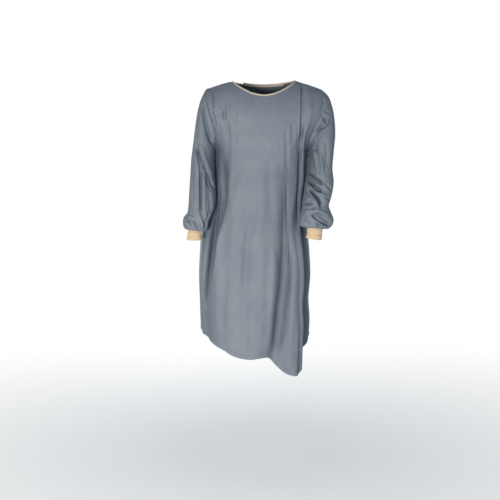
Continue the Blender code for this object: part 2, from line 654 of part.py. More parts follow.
def make_tie(name, panels, run, material):
    """A waist tie's level run on the back, from its sewn end to the knot, where it narrows.

    panels holds the outer and the inner panel, and the run lies on the one that shows.
    """
    columns = np.sort(np.concatenate([part[1] for part in panels]))
    low, high = sorted((run.share0, run.share1))
    between = columns[(columns > low + 0.02) & (columns < high - 0.02)]
    share = np.unique(np.round([low, *between, high], 4))
    share = share if run.share0 < run.share1 else share[::-1]
    u = (share - run.share0) / (run.share1 - run.share0)
    middle = run.z0 + (run.z1 - run.z0) * u
    near = fade((u - TIE_NARROW_FROM) / (1 - TIE_NARROW_FROM))
    lift = LAID_GAP + TIE_WALL + (KNOT_SIZE[1] + KNOT_LIFT - LAID_GAP - TIE_WALL) * near
    half = (TIE_WIDTH + (TIE_NARROW - TIE_WIDTH) * near) / 2
    z = np.array([middle - half, middle, middle + half])
    share, lift = np.broadcast_to(share, z.shape), np.broadcast_to(lift, z.shape)
    over, under = (lay_on(*part, share, z, lift) for part in panels)
    beyond = fade((-OVERLAP_SHARE - 0.01 - share) / 0.07)[..., None]
    grid = over[0] * (1 - beyond) + under[0] * beyond
    normals = unit(over[1] * (1 - beyond) + under[1] * beyond)
    return make_wall(name, grid, normals, TIE_WALL, material)


def make_knot(centre, material):
    """The knot that joins the two waist ties: a rounded lump."""
    mesh = bpy.data.meshes.new("waist_knot")
    made = bmesh.new()
    bmesh.ops.create_icosphere(made, subdivisions=2, radius=1.0)
    for v in made.verts:
        v.co = [c + part * size for c, part, size in zip(centre, v.co, KNOT_SIZE)]
    made.to_mesh(mesh)
    made.free()
    mesh.shade_smooth()
    mesh.materials.append(material)
    obj = bpy.data.objects.new("waist_knot", mesh)
    bpy.context.scene.collection.objects.link(obj)
    return obj


def make_tail(name, tail, centre, inner, material):
    """A tie's free end, which hangs from the knot close to the back."""
    u = np.linspace(0, 1, TIE_STEPS + 1)
    z = centre[2] - KNOT_SIZE[2] - LAID_GAP - tail.length * u
    x = centre[0] + tail.x0 + (tail.x1 - tail.x0) * u
    left, right = column(BODY, "left", z), column(BODY, "right", z)
    across = (x - (left + right) / 2) / ((right - left) / 2)
    share = np.sign(across) * share_at(np.abs(across))
    lift = tail.lift0 + (tail.lift1 - tail.lift0) * u
    middle, _ = lay_on(*inner, share, z, lift)
    start = centre + np.array([tail.x0, tail.turn * tail.x0, 0.0])
    middle[:, :2] += (start - middle[0])[:2] * (1 - fade(u))[:, None]
    half = (TAIL_NARROW + (TIE_WIDTH - TAIL_NARROW) * fade(u / 0.6)) / 2
    sideways = np.array([1.0, tail.turn, 0.0]) / np.hypot(1, tail.turn) * half[:, None]
    grid = np.array([middle - sideways, middle, middle + sideways])
    return make_wall(name, grid, facing_normals(grid, 1), TIE_WALL, material)


def main():
    for obj in list(bpy.data.objects):
        bpy.data.objects.remove(obj)
    blue = make_material("gown_cloth", *BLUE)
    cream = make_material("cuff_knit", *CREAM)
    binding_cream = make_material("binding_knit", *BINDING_CREAM)
    white = make_material("tab_hook", *TAB_WHITE)

    front = panel(front_shares(), -1, NECK_DROP)
    outer = panel(back_shares(), 1, BACK_NECK_DROP, layer_lift(True))
    inner = panel(-back_shares(), 1, BACK_NECK_DROP, layer_lift(False))
    make_wall("front_panel", *front, WALL, blue)
    make_wall("back_panel_left", *outer, WALL, blue)
    make_wall("back_panel_right", *inner, WALL, blue)
    neckline = (*front, front_shares(), False), (*inner, -back_shares(), True), (*outer, back_shares(), False)
    make_binding(*neckline, binding_cream)

    for word, side, rings, cuff, creases in (
        ("left", 1, LEFT_RINGS, LEFT_CUFF, LEFT_CREASES),
        ("right", -1, RIGHT_RINGS, RIGHT_CUFF, RIGHT_CREASES),
    ):
        make_wall(f"sleeve_{word}", *sleeve_grid(side, rings, cuff, creases), WALL, blue, wrap=True)
        make_wall(f"cuff_{word}", *cuff_grid(cuff), KNIT_WALL, cream, wrap=True)

    make_tab(outer, inner, white)
    over, under = (outer, back_shares()), (inner, -back_shares())
    make_tie("waist_tie_left", (over, under), LEFT_TIE, blue)
    make_tie("waist_tie_right", (under, under), RIGHT_TIE, blue)
    place = [np.array([value]) for value in (KNOT_SHARE, KNOT_Z, KNOT_SIZE[1] + KNOT_LIFT)]
    centre = lay_on(*under, *place)[0][0]
    make_knot(centre, blue)
    make_tail("tie_end_left", LEFT_TAIL, centre, under, blue)
    make_tail("tie_end_right", RIGHT_TAIL, centre, under, blue)


main()
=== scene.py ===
"""Looks of the surgical gown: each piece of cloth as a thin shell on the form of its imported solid,
with finer folds, seam grooves, stitches, ribbed cuffs and procedural cloth.

Metres, in the frame of the solids: +Z up, the front faces -Y and the wearer's left is +X.
Lengths in the tables made with in_metres or creases are in millimetres.
The shapes follow the same sizes and formulas as the part's source, on a finer mesh.
"""

from collections import namedtuple

import bpy
import numpy as np
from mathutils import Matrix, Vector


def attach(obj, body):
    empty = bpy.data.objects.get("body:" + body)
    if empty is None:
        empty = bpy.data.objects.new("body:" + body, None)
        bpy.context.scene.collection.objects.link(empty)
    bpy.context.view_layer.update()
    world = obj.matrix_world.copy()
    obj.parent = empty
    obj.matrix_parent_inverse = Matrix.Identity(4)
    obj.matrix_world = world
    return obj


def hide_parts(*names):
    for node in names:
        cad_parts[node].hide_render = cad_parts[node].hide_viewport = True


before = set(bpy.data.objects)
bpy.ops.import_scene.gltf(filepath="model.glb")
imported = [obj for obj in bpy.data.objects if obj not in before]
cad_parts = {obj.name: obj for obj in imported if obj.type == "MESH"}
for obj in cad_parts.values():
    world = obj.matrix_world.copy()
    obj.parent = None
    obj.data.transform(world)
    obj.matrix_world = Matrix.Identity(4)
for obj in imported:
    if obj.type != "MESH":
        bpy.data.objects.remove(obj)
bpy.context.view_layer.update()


def in_metres(kind, plain, rows):
    """A table in metres, from rows in millimetres. The plain columns hold other numbers or words."""
    made = []
    for row in rows:
        values = [v if name in plain.split() else v / 1000 for name, v in zip(kind._fields, row)]
        made.append(kind(*values))
    return made


def creases(side, rows):
    """Creases of one side, front or back, from rows in millimetres."""
    return [Crease(side, *(value / 1000 for value in row)) for row in rows]


# Thickness of the cloth that shows, and how far a sleeve laps over its cuff and stands out of it
WALL = 0.0009
KNIT_WALL = 0.0016
SMALL_WALL = 0.0010
SLEEVE_LAP = 0.004
SLEEVE_OVER_CUFF = 0.0008

# Shoulders, neck and armholes
NECK_HALF = 0.128
NECK_DROP = 0.060
BACK_NECK_DROP = 0.014
NECK_POWER = 1.9
SHOULDER_HALF = 0.226
SHOULDER_FALL = 0.030
SHOULDER_POWER = 1.25
SHOULDER_ROUND = 0.16
TOP_ROUNDS = 3
ARMPIT_Z = -0.266
ARMHOLE_HALF_DEPTH = 0.066
ARMHOLE_TOP_POWER = 1.25
ARMHOLE_PIT_POWER = 1.80
ARMHOLE_KEEN_Z = -0.080
ARMHOLE_KEEN_RUN = 0.12
EASE_REACH = 0.075
EASE_SHARE = 0.35
EASE_Z = -0.110
EASE_RUN = 0.090
TOP_POWER = 2.3

# How far each back panel passes the centre, as a share of the half width, and how far apart they lie
OVERLAP_SHARE = 0.20
LAYER_TOP = 0.0032
LAYER_HEM = 0.0070
LAYER_START = 0.48
LAYER_END = 0.30
LAYER_RUN = 0.6

# Neck tape, hook tab, ties and their knot
BINDING_HEIGHT = 0.0075
BINDING_HALF_THICK = 0.0015
BINDING_STEP = 0.0011
BINDING_RIB_PITCH = 0.0022
BINDING_RIB_SHARE = 0.13
TAB_HEIGHT = 0.026
TAB_DROP = 0.012
TAB_FROM = -0.08
TAB_TO = -0.33
TAB_RIM = 0.0004
TIE_WIDTH = 0.026
TIE_NARROW = 0.012
TAIL_NARROW = 0.008
TIE_NARROW_FROM = 0.7
TIE_PLEATS = 0.0016
TIE_HEM = 0.0003
TAIL_TWIST = 0.10
TAIL_CURL = 0.0012
TAIL_WAVE = 0.0008
LEFT_TIE_LENGTH = 0.122
RIGHT_TIE_LENGTH = 0.104
KNOT_SHARE = -0.42
KNOT_Z = -0.468
KNOT_SIZE = (0.016, 0.008, 0.018)
KNOT_LIFT = 0.0020
KNOT_LOOP = (0.0035, 0.0026, 0.0042)
KNOT_BAND = (0.0050, 0.0027)
LAID_LIFT = 0.0018

# Mesh density
NECK_STEPS = 66
LEFT_STEPS = 60
RIGHT_STEPS = 62
ARMHOLE_STEPS = 80
HEM_ROWS = 22
LOWER_ROWS = 150
HEM_ROWS_SHARE = 0.035
END_CLOSENESS = 0.78
BACK_STEPS = 70
BACK_NECK_STEPS = 45
SLEEVE_RINGS = 226
SLEEVE_RINGS_SHARE = 0.82
CUFF_RIBS = 58
CUFF_ROWS = 44
RIB_POINTS = 6
Dense = namedtuple("Dense", "share wide more")
DENSE = [
    Dense(-0.67, 0.08, 1.3),
    Dense(0.49, 0.07, 1.6),
    Dense(0.36, 0.05, 0.6),
]

# Half widths and depths of the body by height, where its side seams lie and how square the section is
Section = namedtuple("Section", "z left right front back seam_y power")
BODY = in_metres(Section, "power", [
    (-1180, -242, 178, 196, 134, 30, 2.3),
    (-1020, -247, 184, 193, 128, 30, 2.3),
    (-960, -250, 186, 191, 126, 30, 2.3),
    (-880, -253, 181, 189, 122, 30, 2.3),
    (-770, -257, 188, 186, 117, 30, 2.25),
    (-680, -254, 184, 184, 112, 32, 2.2),
    (-600, -248, 178, 182, 106, 34, 2.1),
    (-530, -230, 176, 181, 100, 36, 2.0),
    (-470, -213, 177, 179, 96, 37, 2.0),
    (-400, -203, 179, 174, 92, 36, 2.0),
    (-330, -199, 179, 162, 92, 34, 2.0),
    (-295, -194, 177, 150, 101, 22, 2.1),
    (-266, -187, 173, 136, 110, 8, 2.2),
    (-227, -188, 177, 132, 113, 1, 2.25),
    (-180, -193, 196, 127, 114, 0, 2.3),
    (-130, -208, 220, 125, 112, 0, 2.3),
    (-80, -221, 226, 122, 110, 0, 2.3),
    (-30, -226, 226, 118, 108, 0, 2.3),
    (10, -226, 226, 116, 106, 0, 2.3),
])

# Height of the hem at each direction, in degrees: 0 front, 90 the wearer's left, 180 back
Hem = namedtuple("Hem", "degrees z")
HEM = in_metres(Hem, "degrees", [
    (-180, -1040),
    (-135, -1022),
    (-90, -1000),
    (-57, -1017),
    (-45, -1033),
    (-32, -1050),
    (-22, -1067),
    (-5, -1078),
    (5, -1073),
    (11, -1075),
    (20, -1107),
    (29, -1136),
    (39, -1151),
    (51, -1146),
    (64, -1105),
    (80, -1046),
    (105, -1030),
    (140, -1042),
    (180, -1040),
])

# Long folds of the body: direction and height out of the cloth at three heights, with an even spread
Fold = namedtuple("Fold", "z0 deg0 out0 z1 deg1 out1 z2 deg2 out2 spread")
FOLDS = in_metres(Fold, "deg0 deg1 deg2 spread", [
    (-400, 34, -7, -720, 32, -24, -1100, 15, -24, 8.0),
    (-560, 50, 4, -820, 47, 15, -1130, 43, 20, 8.5),
    (-480, 63, -8, -620, 66, -24, -780, 70, -36, 6.0),
    (-780, 68, 0, -960, 70, -8, -1100, 70, 12, 6.0),
    (-100, 43, -1, -290, 53, -9, -560, 49, -9, 4.6),
    (-120, 50, 3, -330, 58, 7, -580, 53, 8, 4.6),
    (-380, -52, -12, -640, -51, -30, -920, -64, -6, 6.5),
    (-500, -68, 2, -700, -70, 5, -1000, -76, 3, 8.0),
    (-300, -36, 3, -620, -38, 7, -1000, -44, 4, 8.0),
    (-480, -5, -2, -720, -7, -6, -1000, -9, -3, 5.0),
    (-480, 6, 2, -800, 3, 6, -1120, -3, 9, 7.0),
    (-70, -34, -4, -110, -34, -7, -170, -33, -2, 4.6),
    (-100, -46, -4, -150, -45, -7, -240, -44, -2, 4.6),
    (-300, 118, -3, -650, 120, -16, -1100, 124, -22, 8.0),
    (-350, 101, 4, -700, 102, 10, -1100, 103, 12, 8.0),
    (-300, 141, 3, -650, 143, 10, -1100, 146, 16, 8.0),
    (-300, -103, 2, -700, -100, 8, -1100, -99, 13, 8.0),
    (-350, -121, -4, -700, -121, -16, -1100, -122, -22, 8.0),
    (-300, -142, 3, -700, -143, 10, -1100, -145, 15, 8.0),
])

# Rings of a sleeve: the outer and inner end as seen from the front, the middle's depth and half the depth
Ring = namedtuple("Ring", "outer_x outer_z inner_x inner_z y half_depth")
RIGHT_RINGS = in_metres(Ring, "", [
    (-244, -60, -189, -273, -2, 70),
    (-259, -108, -190.8, -286, -9, 67),
    (-269, -170, -193, -310, -21, 64),
    (-277, -235, -192.5, -342, -31, 63),
    (-285, -300, -191, -378, -42, 61),
    (-289, -370, -188, -418, -53, 60),
    (-292.5, -430, -187, -456, -68, 58),
    (-296, -490, -195, -501, -82, 56),
    (-299, -508, -203, -518, -87, 56),
    (-313, -527, -212, -538, -93, 54),
    (-316, -546, -217, -554, -96, 51),
    (-312, -564, -219, -568, -97, 46),
    (-301, -573, -228, -578, -97, 40),
])
LEFT_RINGS = in_metres(Ring, "", [
    (252, -53, 174.6, -273, -2, 70),
    (269, -94, 174.6, -286, -9, 67),
    (278, -145, 174.8, -306, -21, 64),
    (281, -200, 173.5, -330, -31, 62),
    (274.5, -275, 169, -364, -44, 61),
    (269, -335, 162, -396, -58, 61),
    (272.5, -395, 157, -432, -78, 60),
    (260, -455, 150, -470, -96, 60),
    (252, -480, 147, -496, -106, 60),
    (262, -510, 138, -524, -114, 59),
    (270, -538, 133, -546, -119, 56),
    (262, -558, 140, -556, -121, 50),
    (248, -567, 152, -560, -122, 42),
])
# Cuffs: the upper and the lower ring, in the same columns
RIGHT_CUFF = in_metres(Ring, "", [
    (-295, -560, -247, -564, -97, 29),
    (-301.5, -614, -243, -615, -100, 30),
])
LEFT_CUFF = in_metres(Ring, "", [
    (229, -550, 170, -547, -122, 30),
    (223.5, -612, 164, -604, -126, 30),
])

# Creases as arcs seen from the front or from behind: two ends, bow, spread and height.
# The first ones of a sleeve are those of the solid; the fine ones have a lip on both sides.
# An eighth value gives another spread to the right side of a crease, seen along it from its first end.
Crease = namedtuple("Crease", "side x0 z0 x1 z1 bow spread out right", defaults=[0.0])
RIGHT_CREASES = creases("front", [
    (-268, -225, -196, -420, -10, 11, -12),
    (-247, -330, -247, -520, 0, 9, -9),
    (-230, -340, -230, -520, 0, 10, 6),
    (-246, -80, -200, -240, -6, 12, -8),
    (-300, -525, -250, -560, 6, 10, -6),
]) + creases("back", [
    (-236, -150, -232, -380, 6, 13, -9),
    (-272, -300, -206, -420, 10, 12, -9),
    (-280, -420, -212, -500, 8, 12, -9),
])
LEFT_CREASES = creases("front", [
    (182, -212, 250, -135, -6, 11, -9),
    (160, -350, 236, -394, -4, 10, -11),
    (158, -376, 228, -428, -4, 10, -10),
    (164, -415, 230, -488, 6, 11, -12),
    (182, -505, 262, -560, 8, 11, -12),
    (148, -474, 200, -486, 4, 10, -9),
    (195, -260, 222, -360, 6, 12, 6),
]) + creases("back", [
    (240, -130, 208, -330, 6, 13, -9),
    (174, -380, 252, -350, 6, 12, -10),
    (168, -450, 250, -420, 6, 12, -10),
    (164, -505, 246, -525, -6, 12, -10),
])
BODY_FINE = creases("front", [
    (-172, -390, -243, -960, 8, 15, -14, 5),
    (-158, -430, -218, -820, 8, 9, 3),
    (147, 10, 140, -255, 0, 3, -7, 11),
    (141, -205, 128, -600, -1, 3, -7.5, 11),
    (157, -90, 134, -520, 4, 5, 3),
    (88, -380, 92, -740, 1, 4, -4.5),
    (88, -600, 48, -1080, 4, 20, -10),
    (38, -600, 18, -1060, 3, 10, 3),
    (115, -700, 103, -1150, 3, 11, 3),
    (-62, -540, -77, -810, 0, 12, -3),
    (-198, -30, -201, -140, 2, 5, -5),
    (-150, -50, -155, -160, 1, 5.5, -4),
    (-112, -60, -107, -150, 1, 6, -2.5),
    (-194, -122, -160, -92, 0, 4, -2),
    (-195, -142, -166, -112, 0, 4, -1.5),
    (-193, -128, -185, -175, 0, 3.5, -5),
    (84, -180, 89, -350, 1, 7, -2.5),
    (107, -160, 110, -240, 1, 6, -2),
    (88, -384, 124, -390, 0, 3.5, -2.5),
    (-10, -330, -22, -620, 4, 14, 2.5),
    (-118, -420, -128, -700, 4, 15, 3),
    (20, -280, 30, -560, -3, 12, -2),
    (-150, -700, -170, -990, 4, 13, -3),
]) + creases("back", [
    (-135, -440, -60, -220, 10, 8, -3.5),
    (-150, -440, -175, -260, 6, 8, -3.5),
    (-128, -455, -10, -350, 10, 8, -3),
    (-150, -490, -190, -640, 6, 9, -4),
    (-128, -490, -80, -760, 8, 9, -4),
    (75, -110, 100, -360, 8, 11, -3.5),
    (-110, -80, -130, -240, 6, 10, -3),
    (130, -420, 118, -800, 6, 10, -4),
    (30, -520, 20, -900, 4, 12, -3),
    (150, -60, 168, -160, 3, 6, -3),
    (-165, -50, -180, -150, 3, 6, -3),
])
RIGHT_FINE = creases("front", [
    (-264, -236, -190, -425, -6, 4, -7.5),
    (-252, -230, -190, -385, -4, 7.5, 3.5),
    (-248, -300, -243, -520, 1, 3.8, -6.5),
    (-230, -330, -231, -525, 0, 4.8, 3.5),
    (-246, -75, -198, -255, -4, 5, -4),
    (-270, -250, -247, -330, 2, 4, -4.5),
    (-253, -345, -230, -352, 0, 3.5, -3),
    (-243, -500, -224, -572, 2, 4.5, -5.5),
    (-207, -500, -233, -574, -2, 4.5, -5.5),
    (-304, -516, -284, -562, 3, 5, -6),
    (-290, -512, -262, -524, 2, 4, -3),
    (-268, -540, -256, -574, 1, 4, -4),
    (-280, -330, -276, -480, 2, 6, -3),
    (-214, -420, -208, -510, 2, 5, -2.5),
    (-259, -120, -262, -220, 1, 5, -2.5),
]) + creases("back", [
    (-262, -110, -222, -300, 8, 6, -4),
    (-280, -300, -226, -360, 5, 5, -5),
    (-210, -360, -284, -410, 6, 5, -5),
    (-206, -430, -276, -450, 4, 5, -4.5),
    (-294, -500, -250, -560, 4, 4.5, -5),
    (-232, -500, -246, -570, 2, 4.5, -4.5),
])
LEFT_FINE = creases("front", [
    (216, -120, 243, -170, 3, 4.2, -4),
    (224, -184, 264, -138, -4, 4.2, -4.5),
    (190, -196, 232, -172, -3, 4.2, -4.5),
    (232, -118, 262, -128, 3, 4, -3),
    (238, -140, 250, -166, 2, 4, 2.5),
    (186, -235, 210, -378, 3, 6, 4),
    (199, -240, 218, -368, 2, 5, -3.5),
    (210, -240, 228, -376, 2, 6, 3.5),
    (236, -220, 242, -340, 3, 7, -4),
    (158, -348, 226, -392, 3, 3.4, -8),
    (156, -376, 222, -428, 2, 5.2, -7.5),
    (156, -418, 170, -442, 1, 3.8, -4.5),
    (168, -414, 218, -482, 8, 4, -9),
    (148, -474, 190, -471, 0, 3.4, -5.5),
    (150, -490, 200, -486, 0, 3.4, -4.5),
    (176, -502, 254, -556, -6, 4, -9.5),
    (190, -428, 244, -446, 2, 6, 4.5),
    (196, -492, 250, -518, 2, 6, 5),
    (232, -392, 262, -424, 2, 4.5, -4),
    (226, -440, 256, -462, 2, 4.5, -3.5),
    (150, -524, 178, -552, 3, 4.5, -4.5),
    (196, -536, 214, -564, 2, 4.5, -4.5),
]) + creases("back", [
    (262, -110, 222, -260, 6, 6, -4),
    (176, -340, 262, -310, 6, 5, -5.5),
    (168, -400, 262, -384, 5, 4.5, -6),
    (160, -425, 226, -452, 5, 4.5, -5),
    (156, -480, 250, -470, 5, 4.5, -6),
    (160, -530, 220, -556, 4, 4.5, -5),
    (236, -510, 256, -552, 3, 4.5, -4.5),
])
FINE_DEEPER = 1.1
LIP = 0.30
LIP_PLACE = 2.0
CREASE_END = 0.2
CREASE_TURN = 1.6
FOLD_START = 0.12

# How far from the top, the armpit and the seams the folds and creases die away
TOP_CALM = 0.07
PIT_CALM = 0.05
PIT_CALM_SHARE = 0.25
SEAM_CALM = 0.012

# Small wrinkles scattered over a piece: how many, over which part, how long, wide and high, how they lie
Scatter = namedtuple("Scatter", "seed side count x0 x1 z0 z1 length spread out lean")
BODY_SCATTER = in_metres(Scatter, "seed side count lean", [
    (3, "front", 26, -230, 190, -100, -1060, 150, 9, 1.2, 0.22),
    (4, "front", 26, -200, 200, -40, -260, 55, 4.5, 1.2, 0.70),
    (5, "back", 46, -230, 190, -100, -1000, 150, 7, 2.2, 0.30),
    (6, "back", 26, -200, 160, -300, -620, 60, 4.5, 1.6, 0.90),
])
RIGHT_SCATTER = in_metres(Scatter, "seed side count lean", [
    (11, "front", 26, -290, -200, -120, -500, 50, 4.2, 1.4, 0.45),
    (12, "back", 34, -290, -200, -120, -560, 50, 4.5, 2, 0.80),
    (13, "front", 18, -310, -210, -500, -575, 26, 3.5, 1.8, 0.60),
])
LEFT_SCATTER = in_metres(Scatter, "seed side count lean", [
    (21, "front", 22, 170, 270, -200, -380, 45, 4.2, 1.2, 0.50),
    (22, "front", 26, 150, 260, -370, -560, 32, 3.6, 2, 1.20),
    (23, "back", 38, 150, 270, -120, -560, 50, 4.5, 2, 1.00),
])

# Seams: height of the swell beside a seam, its width, and the puckers along it
SWELL_HIGH = 0.0014
SWELL_WIDE = 0.0045
PUCKER_LENGTH = 0.013
ARMHOLE_SWELL = 0.0024
LEFT_SWELL_Z = -0.100
LEFT_SWELL_RUN = 0.05
SLEEVE_SWELL = 0.0056
HEM_DEPTH = 0.017
HEM_STEP = 0.0006
HEM_GROOVE = 0.0010
HEM_GROOVE_WIDE = 0.0022
HEM_WAVE = 0.0011
HEM_WAVE_REACH = 0.022
PUCKER_SEED = 31
SLEEVE_SEED = 41
GATHER_SEED = 51
ANY_PHASE = 6.3

# Level runs of the waist ties: shares and heights of both ends
Run = namedtuple("Run", "share0 share1 z0 z1")
LEFT_TIE = Run(0.02, -0.367, -0.450, -0.466)
RIGHT_TIE = Run(-0.943, -0.461, -0.438, -0.466)

# Free ends of the ties: sideways places from the knot, lifts, length and how far the band is turned
Tail = namedtuple("Tail", "x0 x1 lift0 lift1 length turn")
LEFT_TAIL = Tail(0.0048, 0.022, 0.0106, 0.0160, 0.185, 0.25)
RIGHT_TAIL = Tail(-0.0048, -0.034, 0.0106, 0.0085, 0.215, 0.25)

# Small pleats round the end of a sleeve: how many waves and how strong, their height and reach
GATHER_WAVES = ((17, 0.5), (23, 0.35), (31, 0.25))
GATHER_HIGH = 0.0022
GATHER_REACH = 0.016

# Knit cuffs: height of the ribs, ripples down the cuff, how far it draws in, and its uneven lean
RIB_HIGH = 0.00042
CUFF_RIPPLE = 0.0009
CUFF_DRAWN_IN = 0.0012
CUFF_LEAN = 0.0006

# Rows of stitches: from one to the next, how far out, and the length and width of one
Stitch = namedtuple("Stitch", "pitch lift length width")
HEM_STITCH = Stitch(0.0032, 0.0001, 0.0021, 0.0006)
TIE_STITCH = Stitch(0.0026, 0.0002, 0.0021, 0.0006)
TAB_STITCH = Stitch(0.0024, 0.0002, 0.0017, 0.0005)

# The cut of each piece before it was sewn: width, length and area
Cut = namedtuple("Cut", "width length area")
FRONT_CUT = Cut(0.68, 1.17, 0.66)
BACK_CUT = Cut(0.42, 1.07, 0.36)

# Colours, linear
BLUE = (0.226, 0.247, 0.272)
BLUE_DEEP = (0.178, 0.203, 0.236)
# Painted shade in folds and creases: its dark blue, how far ambient occlusion looks for enclosing cloth,
# and how much of the dark blue is mixed in at most
BLUE_PAINTED_FOLD_SHADE = (0.050, 0.075, 0.110)
PAINTED_FOLD_SHADE_REACH = 0.120
PAINTED_FOLD_SHADE_STRENGTH = 0.85
CREAM = (0.830, 0.640, 0.400)
# The darker cream is painted shade for the hollows between the cuff's knitted loops
CREAM_PAINTED_LOOP_SHADE = (0.700, 0.500, 0.280)
TAPE_CREAM = (0.740, 0.620, 0.480)
TAB_WHITE = (0.700, 0.700, 0.680)
THREAD_BLUE = (0.280, 0.310, 0.350)
FLOOR_WHITE = (0.860, 0.860, 0.855)

# Sizes of the cloths' own patterns: pressed points, hooks and knitted loops
BOND_PITCH = 0.0017
HOOK_PITCH = (0.0011, 0.0014)
CUFF_LOOP = (0.0013, 0.0011)
TAPE_LOOP = (0.0011, 0.0009)

# Camera, floor and light
EYE = (-0.054, -3.330, -0.250)
LOOK_AT = (-0.054, -0.130, -0.651)
LENS = 59.83
SENSOR = 36.0
FLOOR_Z = -1.500
FLOOR_RADIUS = 6
SKY_LIGHT = (0.62, 0.82, 1.0, 1.0)
SKY_POWER = 0.26
WHITE = (1.0, 1.0, 1.0)
Lamp = namedtuple("Lamp", "name place target size power colour")
LAMPS = [
    Lamp("key", (-0.95, -3.20, -0.78), (-0.05, -0.1, -0.58), 0.9, 94, (1.0, 0.975, 0.94)),
    Lamp("fill", (1.5, -2.9, -0.9), (-0.05, 0, -0.6), 1.6, 14, (0.90, 0.96, 1.0)),
    Lamp("back_left", (-0.7, 3.2, -0.5), (-0.05, 0, -0.6), 1.2, 56, WHITE),
    Lamp("back_right", (0.9, 3.4, -0.6), (-0.05, 0, -0.6), 1.2, 34, WHITE),
]

UV = "cloth"


def smooth(keys, values, at):
    """A smooth curve through the values, read at the points given."""
    keys, values = np.asarray(keys, float), np.asarray(values, float)
    slopes = np.gradient(values, keys)
    at = np.clip(at, keys[0], keys[-1])
    i = np.clip(np.searchsorted(keys, at, side="right") - 1, 0, len(keys) - 2)
    step = keys[i + 1] - keys[i]
    u = (at - keys[i]) / step
    start = (1 + 2 * u) * (1 - u) ** 2 * values[i] + u * (1 - u) ** 2 * step * slopes[i]
    end = u * u * (3 - 2 * u) * values[i + 1] + u * u * (u - 1) * step * slopes[i + 1]
    return start + end


def column(table, name, at):
    """One column of a table, read at the points given along its first column."""
    return smooth([row[0] for row in table], [getattr(row, name) for row in table], at)


def fade(x):
    """0 below 0, 1 above 1 and smooth between."""
    x = np.clip(x, 0, 1)
    return x * x * (3 - 2 * x)


def unit(v):
    return v / np.maximum(np.linalg.norm(v, axis=-1, keepdims=True), 1e-12)


def square_to(v, axis):
    """The part of each vector that is square to an axis, at unit length."""
    return unit(v - (v * axis).sum(-1, keepdims=True) * axis)


def full_turn(count):
    """Evenly spaced angles round a circle."""
    return np.linspace(0, 2 * np.pi, count + 1)[:-1]


def lengths_along(line):
    """Distance along a line of points from its first one."""
    return np.concatenate([[0], np.cumsum(np.linalg.norm(np.diff(line, axis=0), axis=1))])


def shoulder_height(x):
    """Height of the shoulder line, level between the neck points."""
    run = np.clip((np.abs(x) - NECK_HALF) / (SHOULDER_HALF - NECK_HALF), 0, 1)
    return -SHOULDER_FALL * run**SHOULDER_POWER


def share_at(x_across):
    """The share of a panel's half width whose point lies at this part of it."""
    return 2 / np.pi * np.arcsin(np.clip(x_across, 0, 1) ** (TOP_POWER / 2))


def neck_share():
    """The share of a panel at its neck points."""
    return share_at(NECK_HALF / SHOULDER_HALF)


def side_name(facing):
    return "front" if facing < 0 else "back"


def degrees_at(share, facing):
    """Direction of a panel's columns round the body: 0 front, 90 the wearer's left, 180 back."""
    return 90 * share if facing < 0 else 180 - 90 * share


def top_height(x, drop):
    """Upper edge of a panel: the shoulder seam, and the neckline between the neck points."""
    across = np.clip(np.abs(x) / NECK_HALF, 0, 1)
    return shoulder_height(x) - drop * (1 - across**NECK_POWER)


def armhole_depth(z):
    """Half the armhole's opening from front to back at a height."""
    middle = (ARMPIT_Z - SHOULDER_FALL) / 2
    half = (-SHOULDER_FALL - ARMPIT_Z) / 2
    return ARMHOLE_HALF_DEPTH * np.sqrt(np.clip(1 - ((z - middle) / half) ** 2, 0, 1))


def eased_depth(z, share):
    """The armhole's depth, evened out over heights near the armpit where the cloth spans it."""
    reach = EASE_REACH * fade((1 - np.abs(share)) / EASE_SHARE) * fade((EASE_Z - z) / EASE_RUN)
    steps = np.linspace(-1, 1, 9)
    weights = (1 - steps**2) ** 2
    levels = sum(w * armhole_depth(z + reach * step) for w, step in zip(weights, steps))
    return levels / weights.sum()


def body_point(facing, share, z):
    """The body's smooth surface. share runs from -1 at the -X side to 1; facing is -1 front, 1 back."""
    left, right = column(BODY, "left", z), column(BODY, "right", z)
    turn, power = np.radians(90 * share), column(BODY, "power", z)
    across = np.sign(share) * np.abs(np.sin(turn)) ** (2 / power)
    crown = np.abs(np.cos(turn)) ** (2 / power)
    x = (left + right) / 2 + (right - left) / 2 * across
    below = np.clip((shoulder_height(x) - z) / SHOULDER_ROUND, 0, 1)
    reach = column(BODY, side_name(facing), z) * np.sqrt(1 - (1 - below) ** 2)
    keen = fade((ARMHOLE_KEEN_Z - z) / ARMHOLE_KEEN_RUN)
    keen = ARMHOLE_TOP_POWER + (ARMHOLE_PIT_POWER - ARMHOLE_TOP_POWER) * keen
    edge = eased_depth(z, share) * (1 - crown) ** keen
    y = facing * (reach * crown + edge) + column(BODY, "seam_y", z)
    return np.stack([x, y, z], axis=-1)


def through(a, b, c, u):
    """A curve through three values at u = 0, 0.5 and 1."""
    return a * (1 - u) * (1 - 2 * u) + 4 * b * u * (1 - u) + c * u * (2 * u - 1)


def fold_height(degrees, z):
    """How far the long folds stand out of the body's surface."""
    total = np.zeros_like(z)
    for f in FOLDS:
        low = np.clip((f.z0 - z) / (f.z0 - f.z1), 0, 1) / 2
        u = low + np.clip((f.z1 - z) / (f.z1 - f.z2), 0, 1) / 2
        start = fade((f.z0 - z) / FOLD_START + 1)
        away = (degrees - through(f.deg0, f.deg1, f.deg2, u) + 180) % 360 - 180
        total = total + start * through(f.out0, f.out1, f.out2, u) * np.exp(-((away / f.spread) ** 2))
    return total


